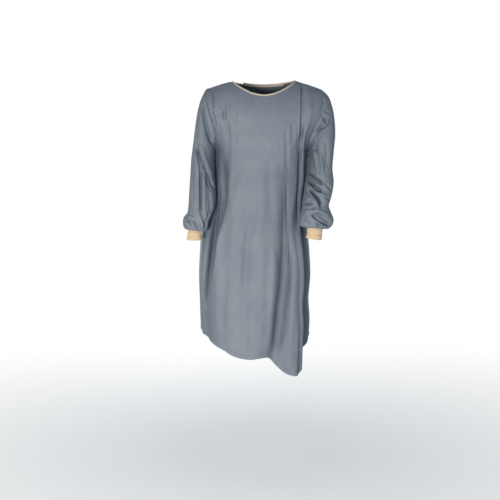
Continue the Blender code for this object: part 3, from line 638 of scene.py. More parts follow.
def crease_height(rows, points, normals, lip=0.0):
    """How far the creases move each point along its normal. A lip raises both sides of a trough."""
    total = np.zeros(points.shape[:-1])
    for c in rows:
        start, end = np.array([c.x0, c.z0]), np.array([c.x1, c.z1])
        run = end - start
        length = np.linalg.norm(run)
        direction = run / length
        across = np.array([-direction[1], direction[0]])
        place = points[..., [0, 2]] - start
        u = np.clip(place @ direction / length, 0, 1)
        arc = start + u[..., None] * run + (4 * c.bow * u * (1 - u))[..., None] * across
        away = points[..., [0, 2]] - arc
        spread = np.where(away @ across > 0, c.right or c.spread, c.spread)
        q = np.linalg.norm(away, axis=-1) / spread
        faces_it = fade(normals[..., 1] * (-1 if c.side == "front" else 1) * CREASE_TURN)
        ends = fade(u / CREASE_END) * fade((1 - u) / CREASE_END)
        shape = np.exp(-(q**2)) - lip * np.exp(-((q - LIP_PLACE) ** 2))
        total += c.out * ends * faces_it * shape
    return total


def scattered(scatter):
    """Small wrinkles of uneven size, laid out at random in the same way on every run."""
    chance = np.random.default_rng(scatter.seed)
    made = []
    for _ in range(scatter.count):
        x = chance.uniform(scatter.x0, scatter.x1)
        z = chance.uniform(scatter.z1, scatter.z0)
        half = scatter.length * chance.uniform(0.35, 1.0) / 2
        lean = chance.normal(0, scatter.lean)
        dx, dz = np.sin(lean) * half, np.cos(lean) * half
        out = scatter.out * chance.uniform(0.4, 1.0) * chance.choice([-1, -1, 1])
        spread = scatter.spread * chance.uniform(0.7, 1.4)
        bow = chance.normal(0, 0.08) * half
        made.append(Crease(scatter.side, x - dx, z - dz, x + dx, z + dz, bow, spread, out))
    return made


def normals_of(grid, wrap=False):
    """Unit normals of a grid of points, rows by columns. wrap joins the last column to the first."""
    along = np.gradient(grid, axis=0)
    if wrap:
        across = (np.roll(grid, -1, axis=1) - np.roll(grid, 1, axis=1)) / 2
    else:
        across = np.gradient(grid, axis=1)
    return unit(np.cross(across, along))


def outward_normals(rings):
    """Normals of a tube's rings, turned outwards."""
    normals = normals_of(rings, wrap=True)
    return normals * np.sign((normals * (rings - rings.mean(axis=1, keepdims=True))).sum())


def facing_normals(grid, facing):
    """Normals of a panel, turned to the side it faces."""
    normals = normals_of(grid)
    return normals * np.sign(normals[..., 1].mean() * facing)


def steps_along(grid, axis):
    """Distance along a grid's rows or columns from their first point."""
    lengths = np.cumsum(np.linalg.norm(np.diff(grid, axis=axis), axis=-1), axis=axis)
    return np.concatenate([np.zeros_like(lengths[:1] if axis == 0 else lengths[:, :1]), lengths], axis=axis)


def swell(away, high):
    """The cloth's swell beside a seam: none on the seam and most at a swell's width from it."""
    return high * away / SWELL_WIDE * np.exp(1 - away / SWELL_WIDE)


def puckers(along, seed):
    """Uneven puckers along a seam, between 0.35 and 1."""
    chance = np.random.default_rng(seed)
    wave = np.zeros_like(along)
    for share in (0.7, 1.0, 1.7, 2.6):
        wave += np.sin(along / (PUCKER_LENGTH * share) * 2 * np.pi + chance.uniform(0, ANY_PHASE)) / 4
    return 0.675 + 0.325 * np.clip(wave * 1.6, -1, 1)


def armhole_steps():
    """Heights up the armhole as shares of it, close together at both ends."""
    even = np.linspace(0, 1, ARMHOLE_STEPS + 1)
    return (1 - END_CLOSENESS) * even + END_CLOSENESS * (1 - np.cos(even * np.pi)) / 2


def body_rows(share, facing, drop):
    """Heights of a panel's rows at each column: close at the hem and at both ends above the armpit."""
    hem = column(HEM, "z", (degrees_at(share, facing) + 180) % 360 - 180)
    low = np.concatenate([
        np.linspace(0, HEM_ROWS_SHARE, HEM_ROWS + 1)[:-1],
        np.linspace(HEM_ROWS_SHARE, 1, LOWER_ROWS + 1),
    ])[:, None]
    lower = hem + (ARMPIT_Z - hem) * low
    top = np.full_like(share, -SHOULDER_FALL)
    for _ in range(TOP_ROUNDS):
        top = top_height(body_point(facing, share, top)[:, 0], drop)
    return np.vstack([lower, ARMPIT_Z + (top - ARMPIT_Z) * armhole_steps()[1:, None]])


def fine_height(points, normals, share, facing):
    """The body's fine creases, wrinkles, seam swells and hem, which the solid leaves out."""
    along, up = steps_along(points, 1), steps_along(points, 0)
    to_side = np.full(share.shape, 1.0)
    for edge, distance in ((0, along), (-1, along[:, -1:] - along)):
        if abs(share[0, edge]) > 1 - 1e-6:
            to_side = np.minimum(to_side, distance)
    z = points[..., 2]
    on_shoulder = np.abs(points[-1, :, 0]) > NECK_HALF
    to_top = np.where(on_shoulder, up[-1] - up, 1.0)
    fine = BODY_FINE + [c for s in BODY_SCATTER for c in scattered(s)]
    out = crease_height([c for c in fine if c.side == side_name(facing)], points, normals, LIP)
    out *= fade(to_side / SEAM_CALM) * fade(to_top / SEAM_CALM)
    above = fade((z - ARMPIT_Z) / 0.03 + 0.5)
    left = fade((LEFT_SWELL_Z - z) / LEFT_SWELL_RUN) * 0.8 + 0.2
    armhole = ARMHOLE_SWELL * np.where(share < 0, 1.0, left)
    high = (SWELL_HIGH + (armhole - SWELL_HIGH) * above) * puckers(up, PUCKER_SEED)
    out += swell(to_side, high) + swell(to_top, SWELL_HIGH) * puckers(along, PUCKER_SEED + 1)
    hem_wave = (puckers(along, PUCKER_SEED + 2) - 0.6) * np.exp(-up / HEM_WAVE_REACH) * HEM_WAVE * 2
    step = HEM_STEP * fade((HEM_DEPTH + 0.0015 - up) / 0.003)
    groove = -HEM_GROOVE * np.exp(-(((up - HEM_DEPTH) / HEM_GROOVE_WIDE) ** 2))
    return out + (hem_wave + step + groove) * fade(to_side / 0.004)


def panel(share, facing, drop, lift=None):
    """Points and normals of a body panel with its folds, rows by columns, at the shares given."""
    z = body_rows(share, facing, drop)
    grid_share = np.broadcast_to(share, z.shape)
    base = body_point(facing, grid_share, z)
    on_shoulder = np.zeros(z.shape, bool)
    on_shoulder[-1] = np.abs(share) >= neck_share() - 1e-6
    base[on_shoulder, 1] = 0.0
    normals = facing_normals(base, facing)
    seam = np.abs(grid_share) > 1 - 1e-6
    below = z < ARMPIT_Z + 1e-6
    normals[seam & below] = np.array([1.0, 0, 0]) * np.sign(grid_share[seam & below])[:, None]
    normals[on_shoulder, 1] = 0
    normals = unit(normals)
    mask = fade((shoulder_height(base[..., 0]) - z) / TOP_CALM)
    over_armpit = fade((z - ARMPIT_Z) / PIT_CALM + 1)
    mask = mask * (1 - over_armpit * (1 - fade((1 - np.abs(grid_share)) / PIT_CALM_SHARE)))
    out = fold_height(degrees_at(grid_share, facing), z) * mask
    if lift is not None:
        out = out + lift(grid_share, z)
    points = base + normals * out[..., None]
    settled = facing_normals(points, facing)
    keep = seam | on_shoulder
    settled[keep] = normals[keep]
    fine = fine_height(points, settled, grid_share, facing)
    points = points + settled * fine[..., None]
    finished = facing_normals(points, facing)
    finished[keep] = normals[keep]
    return points, finished


def quads(table):
    """Four-sided faces between the neighbouring entries of a table of point numbers."""
    corners = (table[:-1, :-1], table[:-1, 1:], table[1:, 1:], table[1:, :-1])
    return np.stack(corners, axis=-1).reshape(-1, 4)


def shell(name, grid, normals, thickness, wrap=False):
    """A closed thin shell over a grid of points, with the cloth's own lengths as its UVs."""
    rows, columns = grid.shape[:2]
    count = rows * columns
    looped = np.concatenate([grid, grid[:, :1]], axis=1) if wrap else grid
    along, up = steps_along(looped, 1), steps_along(looped, 0)
    along = along - along[:, along.shape[1] // 2 : along.shape[1] // 2 + 1]
    cloth = np.stack([along, up], axis=-1).reshape(-1, 2)
    index = np.arange(count).reshape(rows, columns)
    index = np.concatenate([index, index[:, :1]], axis=1) if wrap else index
    spot = np.arange(looped.shape[0] * looped.shape[1]).reshape(looped.shape[:2])
    faces, spots = quads(index), quads(spot)
    first = grid.reshape(-1, 3)[faces]
    towards = np.cross(first[:, 1] - first[:, 0], first[:, 3] - first[:, 0])
    turned = (towards * normals.reshape(-1, 3)[faces[:, 0]]).sum() < 0
    if turned:
        faces, spots = faces[:, ::-1], spots[:, ::-1]
    all_faces, all_spots = [faces, faces[:, ::-1] + count], [spots, spots[:, ::-1]]
    rims = [(index[0], spot[0], False), (index[-1], spot[-1], True)]
    if not wrap:
        rims += [(index[:, 0], spot[:, 0], True), (index[:, -1], spot[:, -1], False)]
    for rim, rim_spot, back in rims:
        a, b, sa, sb = rim[:-1], rim[1:], rim_spot[:-1], rim_spot[1:]
        strip = np.stack([b, a, a + count, b + count], axis=-1)
        strip_spots = np.stack([sb, sa, sa, sb], axis=-1)
        if back != turned:
            strip, strip_spots = strip[:, ::-1], strip_spots[:, ::-1]
        all_faces.append(strip)
        all_spots.append(strip_spots)
    points = np.concatenate([grid.reshape(-1, 3), (grid - normals * thickness).reshape(-1, 3)])
    obj = built(name, points.tolist(), np.concatenate(all_faces).tolist())
    put_uvs(obj, cloth[np.concatenate(all_spots)])
    return obj


def placed(name, data, place=(0, 0, 0)):
    """A new object in the scene."""
    obj = bpy.data.objects.new(name, data)
    obj.location = place
    bpy.context.scene.collection.objects.link(obj)
    return obj


def built(name, points, faces, place=(0, 0, 0)):
    """A smooth object from points and faces."""
    mesh = bpy.data.meshes.new(name)
    mesh.from_pydata(points, [], faces)
    mesh.shade_smooth()
    mesh.update()
    return placed(name, mesh, place)


def put_uvs(obj, cloth):
    """The cloth's lengths, one pair for each corner of the faces, as the object's UVs."""
    layer = obj.data.uv_layers.new(name=UV)
    layer.data.foreach_set("uv", cloth.astype(np.float32).ravel())


def packed(start, end, steps):
    """Columns between two shares, closer together at the sharp folds."""
    at = np.linspace(start, end, 400)
    density = 1 + sum(more * np.exp(-(((at - place) / wide) ** 2)) for place, wide, more in DENSE)
    total = np.cumsum(density)
    total = (total - total[0]) / (total[-1] - total[0])
    return np.interp(np.linspace(0, 1, steps + 1), total, at)


def front_shares():
    """Columns of the front panel, with one at each neck point."""
    neck = neck_share()
    outer_left, outer_right = packed(-1, -neck, LEFT_STEPS), packed(neck, 1, RIGHT_STEPS)
    return np.concatenate([outer_left, packed(-neck, neck, NECK_STEPS)[1:-1], outer_right])


def back_shares():
    """Columns of the wearer's-left back panel, from its side seam past the centre."""
    neck = neck_share()
    outside = np.linspace(1, neck, BACK_STEPS + 1)
    return np.concatenate([outside, np.linspace(neck, -OVERLAP_SHARE, BACK_NECK_STEPS + 2)[1:]])


def layer_lift(over):
    """Lift of a back panel near the overlap: outwards on the outer panel, inwards on the inner one."""

    def lift(share, z):
        towards = share if over else -share
        near = fade((LAYER_START - towards) / (LAYER_START - LAYER_END))
        deep = LAYER_TOP + (LAYER_HEM - LAYER_TOP) * fade(-z / LAYER_RUN)
        return (1 if over else -1) * near * deep

    return lift


def armhole_loop(side):
    """The armhole as a loop of points from the shoulder tip by the front to the armpit and back up."""
    z = ARMPIT_Z + (-SHOULDER_FALL - ARMPIT_Z) * armhole_steps()[::-1]
    share = np.full_like(z, float(side))
    front, back = body_point(-1, share, z), body_point(1, share, z)
    return np.concatenate([front, back[1:-1][::-1]])


def ring_points(ring, turn):
    """One ring of a sleeve or cuff. turn is 0 at the outer end, a quarter turn at the front."""
    middle = np.array([(ring[0] + ring[2]) / 2, ring[4], (ring[1] + ring[3]) / 2])
    half = np.array([(ring[0] - ring[2]) / 2, 0, (ring[1] - ring[3]) / 2])
    depth = np.array([0, -ring[5], 0])
    return middle + np.cos(turn)[:, None] * half + np.sin(turn)[:, None] * depth


def cuff_middle_line(cuff):
    """The direction down a cuff."""
    top, bottom = (ring_points(r, np.array([0, np.pi])).mean(axis=0) for r in cuff)
    return unit(bottom - top)


def sleeve_grid(side, cuff, rings, main_creases, fine, scatter):
    """Rings of a sleeve from the armhole to the cuff's upper edge, and their normals."""
    count = 2 * ARMHOLE_STEPS
    turn = full_turn(count)
    share_down = SLEEVE_LAP / (cuff[0].outer_z - cuff[1].outer_z)
    seam = Ring(*(np.array(cuff[0]) + np.subtract(cuff[1], cuff[0]) * share_down))
    seam = seam._replace(
        outer_x=seam.outer_x + side * SLEEVE_OVER_CUFF,
        inner_x=seam.inner_x - side * SLEEVE_OVER_CUFF,
        half_depth=seam.half_depth + SLEEVE_OVER_CUFF,
    )
    lower = Ring(*(0.45 * np.array(rings[-1]) + 0.55 * np.array(seam)))
    lower = lower._replace(outer_z=rings[-1].outer_z, inner_z=rings[-1].inner_z)
    stations = [armhole_loop(side)] + [ring_points(r, turn) for r in [*rings, lower, seam]]
    runs = [np.linalg.norm(b - a, axis=1).mean() for a, b in zip(stations, stations[1:])]
    marks = np.concatenate([[0], np.cumsum(runs)])
    even = np.linspace(0, 1, SLEEVE_RINGS)
    at = np.interp(even, [0, SLEEVE_RINGS_SHARE, 1], [0, marks[-4], marks[-1]])
    stack = np.array(stations)
    grid = np.stack([
        np.stack([smooth(marks, stack[:, c, axis], at) for axis in range(3)], axis=-1)
        for c in range(count)
    ], axis=1)
    normals = outward_normals(grid)
    free = fade(at / 0.03) * fade((marks[-1] - at) / 0.012)
    out = crease_height(main_creases, grid, normals) * free[:, None]
    grid = grid + normals * out[..., None]
    bent = outward_normals(grid)
    small = [c for s in scatter for c in scattered(s)]
    out = FINE_DEEPER * crease_height(fine, grid, bent, LIP) + crease_height(small, grid, bent, LIP)
    out *= (fade(at / SEAM_CALM) * free)[:, None]
    high = SLEEVE_SWELL * (0.35 + 0.65 * fade(np.abs(bent[..., 1]) * 1.5 - 0.3))
    around = steps_along(grid, 1)
    out += swell(at, 1.0)[:, None] * high * puckers(around, SLEEVE_SEED + side)
    out += gathers(turn, marks[-1] - at, side)
    grid = grid + bent * out[..., None]
    finished = outward_normals(grid)
    finished[0, :, 0] = 0
    pit = fade((-np.cos(turn) - 0.3) / 0.7)[:, None]
    finished[0] = unit((1 - pit) * unit(finished[0]) + pit * np.array([-side, 0, -0.3]))
    finished[-1] = cuff_middle_line(cuff)
    return grid, finished


def gathers(turn, from_cuff, side):
    """Small pleats that gather a sleeve's end into its cuff."""
    chance = np.random.default_rng(GATHER_SEED + side)
    wave = np.zeros_like(turn)
    for waves, share in GATHER_WAVES:
        wave += share * np.cos(waves * turn + chance.uniform(0, ANY_PHASE))
    near = np.exp(-(((from_cuff - GATHER_REACH) / GATHER_REACH) ** 2)) * fade(from_cuff / GATHER_REACH * 2)
    return GATHER_HIGH * wave[None, :] * near[:, None]


def cuff_grid(cuff):
    """A knit cuff with raised ribs, a little slack across its middle."""
    turn = full_turn(CUFF_RIBS * RIB_POINTS)
    top, bottom = np.array(cuff[0]), np.array(cuff[1])
    steps = np.linspace(0, 1, CUFF_ROWS + 1)
    grid = np.array([ring_points(top + (bottom - top) * u, turn) for u in steps])
    normals = unit(grid - grid.mean(axis=1, keepdims=True))
    rib = RIB_HIGH * np.cos(turn * CUFF_RIBS)[None, :] * fade(steps / 0.02)[:, None]
    slack = (CUFF_RIPPLE * np.sin(steps * 17) - CUFF_DRAWN_IN) * np.sin(steps * np.pi)
    lean = CUFF_LEAN * np.cos(3 * turn)[None, :] * np.sin(steps * 11 + 1)[:, None]
    grid = grid + normals * (rib + slack[:, None] + lean)[..., None]
    return grid, normals


def resampled(line, extra, step):
    """Points at even steps along a line, with the values that go with them."""
    lengths = lengths_along(line)
    at = np.linspace(0, lengths[-1], max(2, int(round(lengths[-1] / step))) + 1)
    both = []
    for part in (line, extra):
        both.append(np.stack([np.interp(at, lengths, part[:, k]) for k in range(3)], axis=1))
    return both[0], unit(both[1]), at


def tube(name, path, section_at, closed=False):
    """A tube through cross-sections; section_at gives the points of one at each index of the path."""
    loops = np.array([section_at(i) for i in range(len(path))])
    count, sides = loops.shape[:2]
    index = np.arange(count * sides).reshape(count, sides)
    index = np.concatenate([index, index[:, :1]], axis=1)
    index = np.concatenate([index, index[:1]], axis=0) if closed else index
    faces = quads(index).tolist()
    if not closed:
        faces += [list(range(sides))[::-1], [(count - 1) * sides + s for s in range(sides)]]
    along = lengths_along(loops.mean(axis=1))
    girth = lengths_along(np.concatenate([loops[0], loops[0][:1]]))
    obj = built(name, loops.reshape(-1, 3).tolist(), faces)
    spot = np.zeros(len(obj.data.loops), np.int32)
    obj.data.loops.foreach_get("vertex_index", spot)
    put_uvs(obj, np.stack([along[spot // sides], girth[spot % sides]], axis=-1))
    return obj


def binding_path(front, inner, outer):
    """The neckline from the inner back panel's edge, round the front, to the outer one's edge."""
    lines, outs = [], []
    neck = neck_share()
    for (points, normals, shares), reverse in ((inner, True), (front, False), (outer, False)):
        on_neck = np.abs(shares) <= neck + 1e-6
        line, out = points[-1][on_neck], normals[-1][on_neck]
        lines.append(line[::-1] if reverse else line)
        outs.append(out[::-1] if reverse else out)
    line = np.concatenate([lines[0], lines[1][1:-1], lines[2]])
    out = unit(np.concatenate([outs[0], outs[1][1:-1], outs[2]]))
    return resampled(line, out, BINDING_STEP)


def make_binding(front, inner, outer):
    """The knit tape round the neck, with fine ribs across it."""
    path, out, at = binding_path(front, inner, outer)
    along = unit(np.gradient(path, axis=0))
    up = unit(np.cross(out, along))
    up = up * np.sign((up * (np.array([0, 0, 0.06]) - path)).sum(-1))[:, None]
    up = unit(up + np.array([0, 0, 0.35]))
    out = square_to(out, up)
    turns = full_turn(16)
    rounded = np.stack([np.cos(turns), np.sin(turns)], axis=1)
    rounded = np.sign(rounded) * np.abs(rounded) ** np.array([0.75, 0.55])

    def section(i):
        rib = 1 + BINDING_RIB_SHARE * np.cos(at[i] / BINDING_RIB_PITCH * 2 * np.pi)
        wide = BINDING_HALF_THICK * rib * rounded[:, 0]
        high = BINDING_HEIGHT / 2 * (1 + rounded[:, 1] * (0.98 + 0.02 * rib)) - 0.0006
        return path[i] - out[i] * WALL / 2 + wide[:, None] * out[i] + high[:, None] * up[i]

    return tube("neck_tape", path, section)


def lay_on(part, share, z, lift):
    """Points on a panel's own grid at the shares and heights given, moved out by a lift."""
    points, normals, shares = part
    order = np.argsort(shares)
    shares, points, normals = shares[order], points[:, order], normals[:, order]
    i = np.clip(np.searchsorted(shares, share, side="right") - 1, 0, len(shares) - 2)
    t = (share - shares[i]) / (shares[i + 1] - shares[i])
    laid, facing = np.zeros(z.shape + (3,)), np.zeros(z.shape + (3,))
    for spot in np.ndindex(z.shape):
        for j, weight in ((i[spot], 1 - t[spot]), (i[spot] + 1, t[spot])):
            for axis in range(3):
                heights = points[:, j, 2]
                laid[spot][axis] += weight * np.interp(z[spot], heights, points[:, j, axis])
                facing[spot][axis] += weight * np.interp(z[spot], heights, normals[:, j, axis])
    facing = unit(facing)
    return laid + facing * lift[..., None], facing


def blended(panels, share, z, lift):
    """A strip on the outer back panel that passes its edge onto the inner one."""
    over, under = (lay_on(part, share, z, lift) for part in panels)
    beyond = fade((-OVERLAP_SHARE - 0.01 - share) / 0.07)[..., None]
    return over[0] * (1 - beyond) + under[0] * beyond, unit(over[1] * (1 - beyond) + under[1] * beyond)


def make_tab(panels):
    """The hook tab at the back of the neck, sewn to the outer panel and pressed on the inner one."""
    across = np.linspace(TAB_FROM, TAB_TO, 61)
    x = body_point(1, across, np.full_like(across, -SHOULDER_FALL))[:, 0]
    top = top_height(x, BACK_NECK_DROP) - TAB_DROP
    z = np.array([top - TAB_HEIGHT * u for u in np.linspace(1, 0, 13)])
    share = np.broadcast_to(across, z.shape)
    u = np.linspace(0, 1, 13)[:, None] * np.ones(len(across))
    edge = np.minimum(np.minimum(u, 1 - u) * TAB_HEIGHT, np.abs(across - TAB_FROM) * 0.2)
    lift = LAID_LIFT + TAB_RIM * fade(edge / 0.002)
    grid, normals = blended(panels, share, z, lift)
    return shell("neck_hook_tab", grid, normals, SMALL_WALL), (grid, normals)


def make_tie(name, panels, run):
    """A waist tie's level run on the back, from its sewn end to the knot, where it narrows."""
    u = np.linspace(0, 1, 121)
    share = run.share0 + (run.share1 - run.share0) * u
    middle = run.z0 + (run.z1 - run.z0) * u
    near = fade((u - TIE_NARROW_FROM) / (1 - TIE_NARROW_FROM))
    lift = LAID_LIFT + (KNOT_SIZE[1] + KNOT_LIFT - LAID_LIFT) * near
    half = (TIE_WIDTH + (TIE_NARROW - TIE_WIDTH) * near) / 2
    rows = np.linspace(-1, 1, 13)[:, None]
    z = middle + half * rows
    pleats = TIE_PLEATS * near * np.cos(rows * 7.0) + TIE_HEM * np.cos(u * 31) * (1 - near)
    hems = TIE_HEM * fade((np.abs(rows) - 0.75) / 0.1)
    grid, normals = blended(panels, np.broadcast_to(share, z.shape), z, lift + pleats + hems)
    return shell(name, grid, normals, SMALL_WALL), (grid, normals)


def make_tail(name, tail, centre, under):
    """A tie's free end, which hangs from the knot close to the back, with a soft twist."""
    u = np.linspace(0, 1, 101)
    z = centre[2] - KNOT_SIZE[2] + 0.001 - tail.length * u
    x = centre[0] + tail.x0 + (tail.x1 - tail.x0) * u
    left, right = column(BODY, "left", z), column(BODY, "right", z)
    across = (x - (left + right) / 2) / ((right - left) / 2)
    share = np.sign(across) * share_at(np.abs(across))
    middle, _ = lay_on(under, share, z, tail.lift0 + (tail.lift1 - tail.lift0) * u)
    start = centre + np.array([tail.x0, tail.turn * tail.x0, 0.0])
    middle[:, :2] += (start - middle[0])[:2] * (1 - fade(u))[:, None]
    half = (TAIL_NARROW + (TIE_WIDTH - TAIL_NARROW) * fade(u / 0.6)) / 2
    turn = tail.turn + TAIL_TWIST * np.sin(u * 5.0)
    sideways = np.stack([np.ones_like(turn), turn, np.zeros_like(turn)], axis=1)
    sideways = unit(sideways) * half[:, None]
    rows = np.linspace(-1, 1, 13)
    grid = np.array([middle + sideways * r for r in rows])
    normals = facing_normals(grid, 1)
    outside = rows[:, None] ** 2
    curl = TAIL_CURL * (1 - outside) * (1 - fade(u)) + TAIL_WAVE * np.cos(u * 9) * outside
    grid = grid + normals * curl[..., None]
    return shell(name, grid, facing_normals(grid, 1), SMALL_WALL), (grid, normals)


def make_knot(centre):
    """The knot of the two ties: a flat band that loops over and under itself."""
    t = full_turn(144)
    loop = np.stack([np.sin(t) + 2 * np.sin(2 * t), -np.sin(3 * t), np.cos(t) - 2 * np.cos(2 * t)], axis=1)
    path = centre + loop * np.array(KNOT_LOOP)
    along = unit(np.roll(path, -1, axis=0) - np.roll(path, 1, axis=0))
    out = unit(np.cross(along, [0.0, 0, 1.0]) + np.array([0, 1.6, 0]))
    out = square_to(out, along)
    side = np.cross(along, out)
    turns = full_turn(14)

    def section(i):
        crush = 1 + 0.12 * np.cos(5 * turns + i * 0.3)
        wide = KNOT_BAND[0] * np.cos(turns) * crush
        thick = KNOT_BAND[1] * np.sin(turns) * crush
        return path[i] + wide[:, None] * side[i] + thick[:, None] * out[i]

    return tube("tie_knot", path, section, closed=True)


def stitch_points(line, normals, stitch):
    """Places, directions and normals of a row of stitches along a line."""
    points, out, _ = resampled(line, normals, stitch.pitch)
    along = unit(np.gradient(points, axis=0))
    return points + out * stitch.lift, along, out


def make_stitches(name, rows, stitch):
    """Short threads along each row, as one joined mesh of eight-sided beads."""
    length, width = stitch.length, stitch.width
    points, faces = [], []
    for centre, along, out in rows:
        side = unit(np.cross(along, out))
        for c, a, o, s in zip(centre, along, out, side):
            first = len(points)
            points += [c + a * length / 2, c - a * length / 2, c + s * width / 2, c - s * width / 2]
            points += [c + o * width * 0.6, c - o * width * 0.4]
            for x, y in ((2, 4), (4, 3), (3, 5), (5, 2)):
                faces.append((first, first + x, first + y))
                faces.append((first + 1, first + y, first + x))
    return built(name, [tuple(p) for p in points], faces)


def row_at(grid, normals, distance):
    """The line across a panel at a distance up from its hem."""
    up = steps_along(grid, 0)
    columns = range(grid.shape[1])
    parts = []
    for part in (grid, normals):
        line = [[np.interp(distance, up[:, c], part[:, c, k]) for k in range(3)] for c in columns]
        parts.append(np.array(line))
    return parts


class Graph:
    """A short way to write the nodes of a material."""

    def __init__(self, name):
        self.material = bpy.data.materials.new(name)
        self.material.use_nodes = True
        self.tree = self.material.node_tree
        self.shader = self.tree.nodes["Principled BSDF"]
        self.cloth = self.add("UVMap", uv_map=UV).outputs["UV"]
        self.place = self.add("TexCoord").outputs["Object"]

    def add(self, kind, inputs=(), **settings):
        made = self.tree.nodes.new("ShaderNode" + kind)
        for key, value in settings.items():
            setattr(made, key, value)
        for key, value in dict(inputs).items():
            self.put(made.inputs[key], value)
        return made

    def put(self, socket, value):
        if isinstance(value, bpy.types.NodeSocket):
            self.tree.links.new(value, socket)
        else:
            socket.default_value = value

    def math(self, operation, a, b=0.0):
        return self.add("Math", {0: a, 1: b}, operation=operation).outputs[0]

    def vector(self, operation, a, b=(0, 0, 0)):
        made = self.add("VectorMath", {0: a, 1: b}, operation=operation)
        return made.outputs["Value" if operation == "LENGTH" else "Vector"]

    def scaled(self, vector, scale, turn=0.0):
        inputs = {"Vector": vector, "Scale": scale, "Rotation": (0, 0, np.radians(turn))}
        return self.add("Mapping", inputs).outputs["Vector"]

    def from_cell_centre(self, pitch, turn=0.0):
        """Distance from the middle of each cell of a lattice on the cloth."""
        lattice = self.vector("FRACTION", self.scaled(self.cloth, (1 / pitch[0], 1 / pitch[1], 1.0), turn))
        return self.vector("LENGTH", self.vector("SUBTRACT", lattice, (0.5, 0.5, 0.0)))

    def noise(self, vector, scale, detail, rough):
        inputs = {"Vector": vector, "Scale": scale, "Detail": detail, "Roughness": rough}
        return self.add("TexNoise", inputs).outputs["Fac"]

    def spread(self, value, low, high, to_low, to_high):
        inputs = {0: value, 1: low, 2: high, 3: to_low, 4: to_high}
        return self.add("MapRange", inputs).outputs[0]

    def mixed(self, share, first, second):
        made = self.add("Mix", {0: share}, data_type="RGBA")
        for socket, colour in ((made.inputs[6], first), (made.inputs[7], second)):
            self.put(socket, (*colour, 1.0) if isinstance(colour, tuple) else colour)
        return made.outputs[2]

    def bump(self, height, distance, normal=None):
        inputs = {"Height": height, "Distance": distance, "Strength": 1.0}
        if normal is not None:
            inputs["Normal"] = normal
        return self.add("Bump", inputs).outputs["Normal"]

    def finish(self, colour, roughness, normal, sheen, specular):
        self.put(self.shader.inputs["Base Color"], colour)
        self.put(self.shader.inputs["Roughness"], roughness)
        self.put(self.shader.inputs["Normal"], normal)
        self.shader.inputs["Sheen Weight"].default_value = sheen
        self.shader.inputs["Sheen Roughness"].default_value = 0.45
        self.shader.inputs["Specular IOR Level"].default_value = specular
        return self.material


def darker(colour, share):
    return tuple(share * c for c in colour)


def nonwoven(name, light, deep):
    """Thermally bonded nonwoven: cloudy fibres, a lattice of pressed points and a papery crumple, with
    painted shade that darkens its folds and creases.
    """
    g = Graph(name)
    cloud = g.noise(g.place, 7.0, 4.0, 0.6)
    patch = g.noise(g.place, 60.0, 3.0, 0.6)
    fibre = g.noise(g.scaled(g.cloth, (1.0, 0.16, 1.0)), 1500.0, 3.0, 0.7)
    pressed = g.spread(g.from_cell_centre((BOND_PITCH, BOND_PITCH), 45), 0.16, 0.34, 0.0, 1.0)
    crumple = g.noise(g.place, 34.0, 3.0, 0.55)
    base = g.mixed(g.spread(cloud, 0.32, 0.68, 0.0, 1.0), deep, light)
    worn = g.mixed(g.spread(patch, 0.35, 0.75, 0.0, 0.22), base, light)
    threads = g.mixed(g.spread(fibre, 0.3, 0.7, 0.18, 0.0), worn, deep)
    # Painted shade: the colour goes towards dark blue where ambient occlusion finds the cloth enclosed, in
    # folds, creases and between the sleeves and the body
    painted_fold_shade = g.add("AmbientOcclusion", {"Distance": PAINTED_FOLD_SHADE_REACH}, samples=12).outputs["AO"]
    colour = g.mixed(g.spread(painted_fold_shade, 0.30, 0.97, PAINTED_FOLD_SHADE_STRENGTH, 0.0), threads, BLUE_PAINTED_FOLD_SHADE)
    normal = g.bump(crumple, 0.0022)
    normal = g.bump(fibre, 0.00010, normal)
    normal = g.bump(pressed, 0.00007, normal)
    rough = g.spread(patch, 0.3, 0.7, 0.60, 0.76)
    return g.finish(colour, rough, normal, 0.18, 0.35)


def knit(name, light, deep, loop_size):
    """Knit fabric: columns of V-shaped stitches with a soft fuzz, and painted shade that darkens the colour
    where the loops lie low.
    """
    g = Graph(name)
    split = g.add("SeparateXYZ", {"Vector": g.cloth})
    across = g.math("SUBTRACT", g.math("FRACT", g.math("DIVIDE", split.outputs[0], loop_size[0])), 0.5)
    away = g.math("ABSOLUTE", across)
    wave = g.math("ADD", g.math("DIVIDE", split.outputs[1], loop_size[1]), away)
    loop = g.math("SINE", g.math("MULTIPLY", wave, 2 * np.pi))
    height = g.math("MULTIPLY", g.spread(loop, -1.0, 1.0, 0.0, 1.0), g.spread(away, 0.0, 0.5, 1.0, 0.1))
    fuzz = g.noise(g.place, 900.0, 4.0, 0.7)
    cloud = g.noise(g.place, 40.0, 3.0, 0.6)
    # Painted shade: the colour turns to the darker one where the loops lie low, in the hollows between them
    colour = g.mixed(g.spread(height, 0.0, 0.6, 0.0, 1.0), deep, light)
    colour = g.mixed(g.spread(cloud, 0.35, 0.7, 0.0, 0.25), colour, light)
    normal = g.bump(fuzz, 0.00018, g.bump(height, 0.00035))
    return g.finish(colour, g.spread(fuzz, 0.3, 0.7, 0.82, 0.96), normal, 0.30, 0.20)


def hook_tape(name, light):
    """Hook tape: rows of tiny stiff hooks on a woven ground, with painted shade that darkens the ground
    between the hooks.
    """
    g = Graph(name)
    height = g.spread(g.from_cell_centre(HOOK_PITCH), 0.15, 0.45, 1.0, 0.0)
    ground = g.noise(g.place, 1200.0, 2.0, 0.6)
    # Painted shade: the ground between the hooks is mixed towards a colour six tenths as light
    colour = g.mixed(g.spread(height, 0.0, 1.0, 0.35, 0.0), light, darker(light, 0.6))
    normal = g.bump(height, 0.0004, g.bump(ground, 0.0001))
    return g.finish(colour, g.spread(ground, 0.3, 0.7, 0.45, 0.65), normal, 0.0, 0.45)


